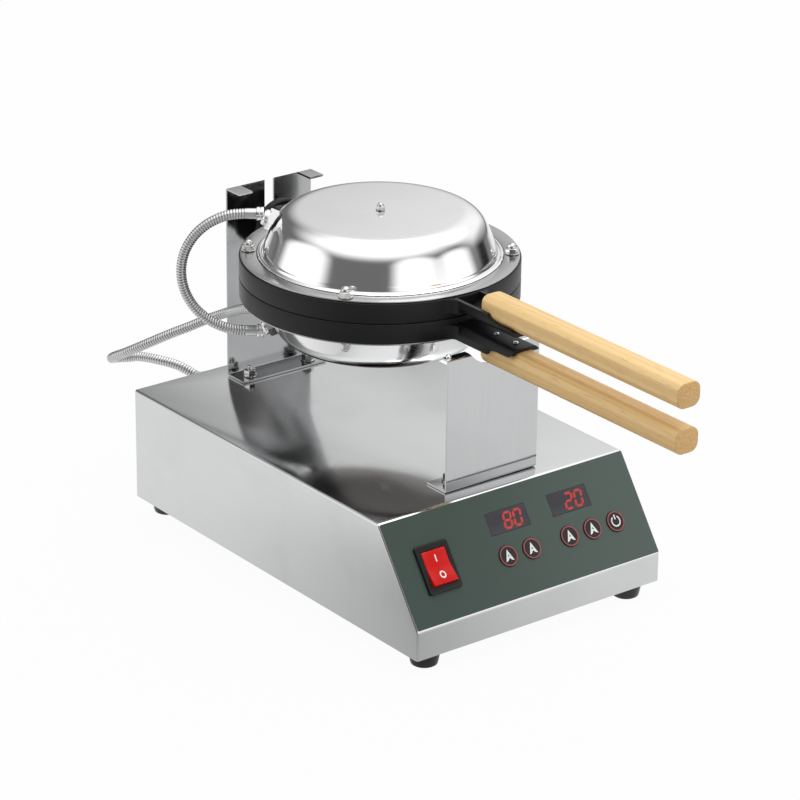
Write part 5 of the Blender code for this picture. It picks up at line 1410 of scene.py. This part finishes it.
class WAFFLE_OT_glands(WaffleOperator):
    """Glands where the conduit and the mains lead enter the housing"""

    bl_idname = "waffle.glands"
    bl_label = "Glands"

    def build(self, m, g, s, b, h):
        for name, (x, z), look in (
            ("conduit_gland", CONDUIT_GLAND, "bright_steel"),
            ("mains_gland", MAINS_GLAND, "black_plastic"),
        ):
            line = [(0, 0.010), (0.0054, 0.010), (0.006, 0.0092)]
            for i in range(4):
                line += [(0.006, 0.0086 - 0.001 * i), (0.0057, 0.0083 - 0.001 * i)]
            line += [(0.006, 0.0045), (0.006, 0.0023), (0.005, 0.0023), (0.005, -0.0075), (0, -0.0075)]
            made = joined(turned(line, 40), hex_nut(0.008, GAP, 0.0043), hex_nut(0.008, -0.0058, -0.0018))
            made.transform(moved((x, b.rear_y, z)) @ AXES["Y"])
            piece(f"{name}_body", made, look, "base", name)


class WAFFLE_OT_inside(WaffleOperator):
    """Finishes for the parts that stay as the CAD made them"""

    bl_idname = "waffle.inside"
    bl_label = "Inner parts"

    def build(self, m, g, s, b, h):
        for name, look in (
            ("transformer", "plain_steel"),
            ("terminal_block", "black_plastic"),
            ("control_board", "circuit_board"),
            ("lower_heater", "heater_sheath"),
            ("upper_heater", "heater_sheath"),
        ):
            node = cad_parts[name]
            node.data.materials.clear()
            dress(node, look)


# Studio

# The room's own light, and its soft lights: degrees round Z from the front,
# degrees above the floor, where each starts to fade and where it ends, and
# its strength. The last one is a dark card.
ROOM_LIGHT = 0.17
SOFT_LIGHTS = (
    (0, 90, 18, 62, 1.35),
    (112, 30, 6, 48, 0.97),
    (-122, 11, 18, 36, 1.20),
    (0, 14, 16, 31, 1.15),
    (45, 8, 12, 27, 1.15),
    (97, -2, 4, 26, -0.55),
)
# Painted shade on the floor, seen only in steel: it grows dimmer towards the corner where the camera stands.
DIM_SIDE = (-0.38, -0.28, 0.0)
DIM_REACH = 0.62
DIM_SHARE = 0.80
# Painted shade on the floor, seen only in steel: where it fades towards the far end of the room, and by how
# much.
FLOOR_FADE = (1.2, 3.2)
FADE_SHARE = 0.8


def toward(azimuth, elevation):
    """The direction at an angle round Z from the front and an angle above the floor."""
    flat = math.cos(elevation)
    return Vector((math.sin(azimuth) * flat, -math.cos(azimuth) * flat, math.sin(elevation)))


class WAFFLE_OT_stage(WaffleOperator):
    """Pale floor, soft lamps, an even sky and the camera"""

    bl_idname = "waffle.stage"
    bl_label = "Stage"

    def execute(self, context):
        scene = context.scene
        self.floor(scene)
        self.sky(scene)
        self.lamp(scene)
        self.camera(scene)
        scene.view_settings.view_transform = "Standard"
        return {"FINISHED"}

    def floor(self, scene):
        bm = bmesh.new()
        bmesh.ops.create_grid(bm, x_segments=1, y_segments=1, size=12.0)
        mesh = mesh_of(bm, "floor")
        look = Look("floor")
        paper = look.noise(30.0, 3.0)
        tone = look.mix(paper, (0.58, 0.58, 0.58), (0.60, 0.60, 0.60))
        look.set({"Base Color": tone, "Roughness": 0.7 + 0.1 * paper})
        look.bump(paper, 0.00005, 0.2)
        self.seen_white(look, 0.96)
        mesh.materials.append(look.material)
        made = bpy.data.objects.new("floor", mesh)
        scene.collection.objects.link(made)
        made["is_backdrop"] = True

    def seen_white(self, look, amount):
        """Blends in white where the camera or shiny steel looks; for steel the white carries painted shade,
        dimmer towards one corner and far away.
        """
        rays = look.node("ShaderNodeLightPath")
        away = look.vector_maths("DISTANCE", look.place, Vector(DIM_SIDE))
        shiny = look.maths("MAXIMUM", rays["Is Glossy Ray"], rays["Is Transmission Ray"])
        far = look.vector_maths("LENGTH", look.place)
        # Painted shade for shiny rays only: dimmer near DIM_SIDE and beyond FLOOR_FADE.
        tone = 1 - DIM_SHARE * shiny * (1 - away.above(0.05, DIM_REACH))
        tone = tone * (1 - FADE_SHARE * shiny * far.above(*FLOOR_FADE))
        white = look.node("ShaderNodeEmission", None, {"Color": (1, 1, 1), "Strength": tone})
        mixed = look.tree.nodes.new("ShaderNodeMixShader")
        look.feed(mixed.inputs[0], amount * look.maths("MAXIMUM", rays["Is Camera Ray"], shiny))
        look.tree.links.new(look.shader.outputs[0], mixed.inputs[1])
        look.feed(mixed.inputs[2], white["Emission"])
        look.tree.links.new(mixed.outputs[0], look.output.inputs["Surface"])

    def sky(self, scene):
        """A dim room with wide soft lights, which the camera sees as plain white."""
        world = bpy.data.worlds.new("studio")
        scene.world = world
        world.use_nodes = True
        tree = world.node_tree
        look = Look("studio", tree)
        glow = look.maths("ADD", ROOM_LIGHT, 0.0)
        for *place, inner, outer, strength in SOFT_LIGHTS:
            middle = toward(*[math.radians(angle) for angle in place])
            facing = look.vector_maths("DOT_PRODUCT", look.place, middle)
            edge = [math.cos(math.radians(angle)) for angle in (outer, inner)]
            glow = glow + strength * facing.above(*edge)
        dim = tree.nodes["Background"]
        look.feed(dim.inputs["Color"], look.maths("MAXIMUM", glow, 0.02))
        rays = look.node("ShaderNodeLightPath")
        white = look.node("ShaderNodeBackground", None, {"Color": (1, 1, 1)})
        mixed = tree.nodes.new("ShaderNodeMixShader")
        look.feed(mixed.inputs[0], rays["Is Camera Ray"])
        tree.links.new(dim.outputs[0], mixed.inputs[1])
        look.feed(mixed.inputs[2], white["Background"])
        tree.links.new(mixed.outputs[0], tree.nodes["World Output"].inputs["Surface"])

    def lamp(self, scene):
        data = bpy.data.lights.new("top_lamp", "AREA")
        data.shape, data.size, data.size_y = "RECTANGLE", 1.4, 1.4
        data.energy = 9
        made = bpy.data.objects.new("top_lamp", data)
        place, target = Vector((0.5, -0.1, 2.3)), Vector((0, 0.05, 0.1))
        made.location = place
        made.rotation_euler = (target - place).to_track_quat("-Z", "Y").to_euler()
        scene.collection.objects.link(made)

    def camera(self, scene):
        w = scene.waffle_studio
        back = toward(w.azimuth, w.elevation)
        right = Vector((math.cos(w.azimuth), math.sin(w.azimuth), 0))
        up = back.cross(right)
        side = right * math.cos(w.roll) + up * math.sin(w.roll)
        rise = up * math.cos(w.roll) - right * math.sin(w.roll)
        data = bpy.data.cameras.new("camera")
        data.lens, data.sensor_width = w.lens, w.sensor
        made = bpy.data.objects.new("camera", data)
        turn = Matrix((side, rise, back)).transposed().to_4x4()
        made.matrix_world = moved(Vector(w.target) + back * w.distance) @ turn
        scene.collection.objects.link(made)
        scene.camera = made


# Add-on


STEPS = (
    WAFFLE_OT_stage,
    WAFFLE_OT_hoses,
    WAFFLE_OT_castings,
    WAFFLE_OT_domes,
    WAFFLE_OT_nuts,
    WAFFLE_OT_grips,
    WAFFLE_OT_fittings,
    WAFFLE_OT_pivots,
    WAFFLE_OT_supports,
    WAFFLE_OT_housing,
    WAFFLE_OT_panel,
    WAFFLE_OT_glands,
    WAFFLE_OT_inside,
)


class WAFFLE_PT_panel(bpy.types.Panel):
    """Lists what the add-on builds"""

    bl_label = "Bubble waffle maker"
    bl_idname = "WAFFLE_PT_panel"
    bl_space_type = "VIEW_3D"
    bl_region_type = "UI"
    bl_category = "Waffle Maker"

    def draw(self, context):
        column = self.layout.column()
        for step in STEPS:
            column.operator(step.bl_idname)
        for name, group in GROUPS.items():
            box = self.layout.box()
            for key in group.__annotations__:
                box.prop(getattr(context.scene, name), key)


CLASSES = (*GROUPS.values(), *STEPS, WAFFLE_PT_panel)


def register():
    for cls in CLASSES:
        bpy.utils.register_class(cls)
    for name, group in GROUPS.items():
        setattr(bpy.types.Scene, name, PointerProperty(type=group))


def unregister():
    for name in GROUPS:
        delattr(bpy.types.Scene, name)
    for cls in reversed(CLASSES):
        bpy.utils.unregister_class(cls)


def main():
    register()
    for step in STEPS:
        group, name = step.bl_idname.split(".")
        getattr(getattr(bpy.ops, group), name)()
    {"cad": numbers(BARE_BOUNDS), "scene": numbers(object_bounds())}


def numbers(value):
    """Vectors in any nesting, as plain lists of numbers."""
    return float(value) if isinstance(value, (int, float)) else [numbers(v) for v in value]


if __name__ == "__main__":
    main()
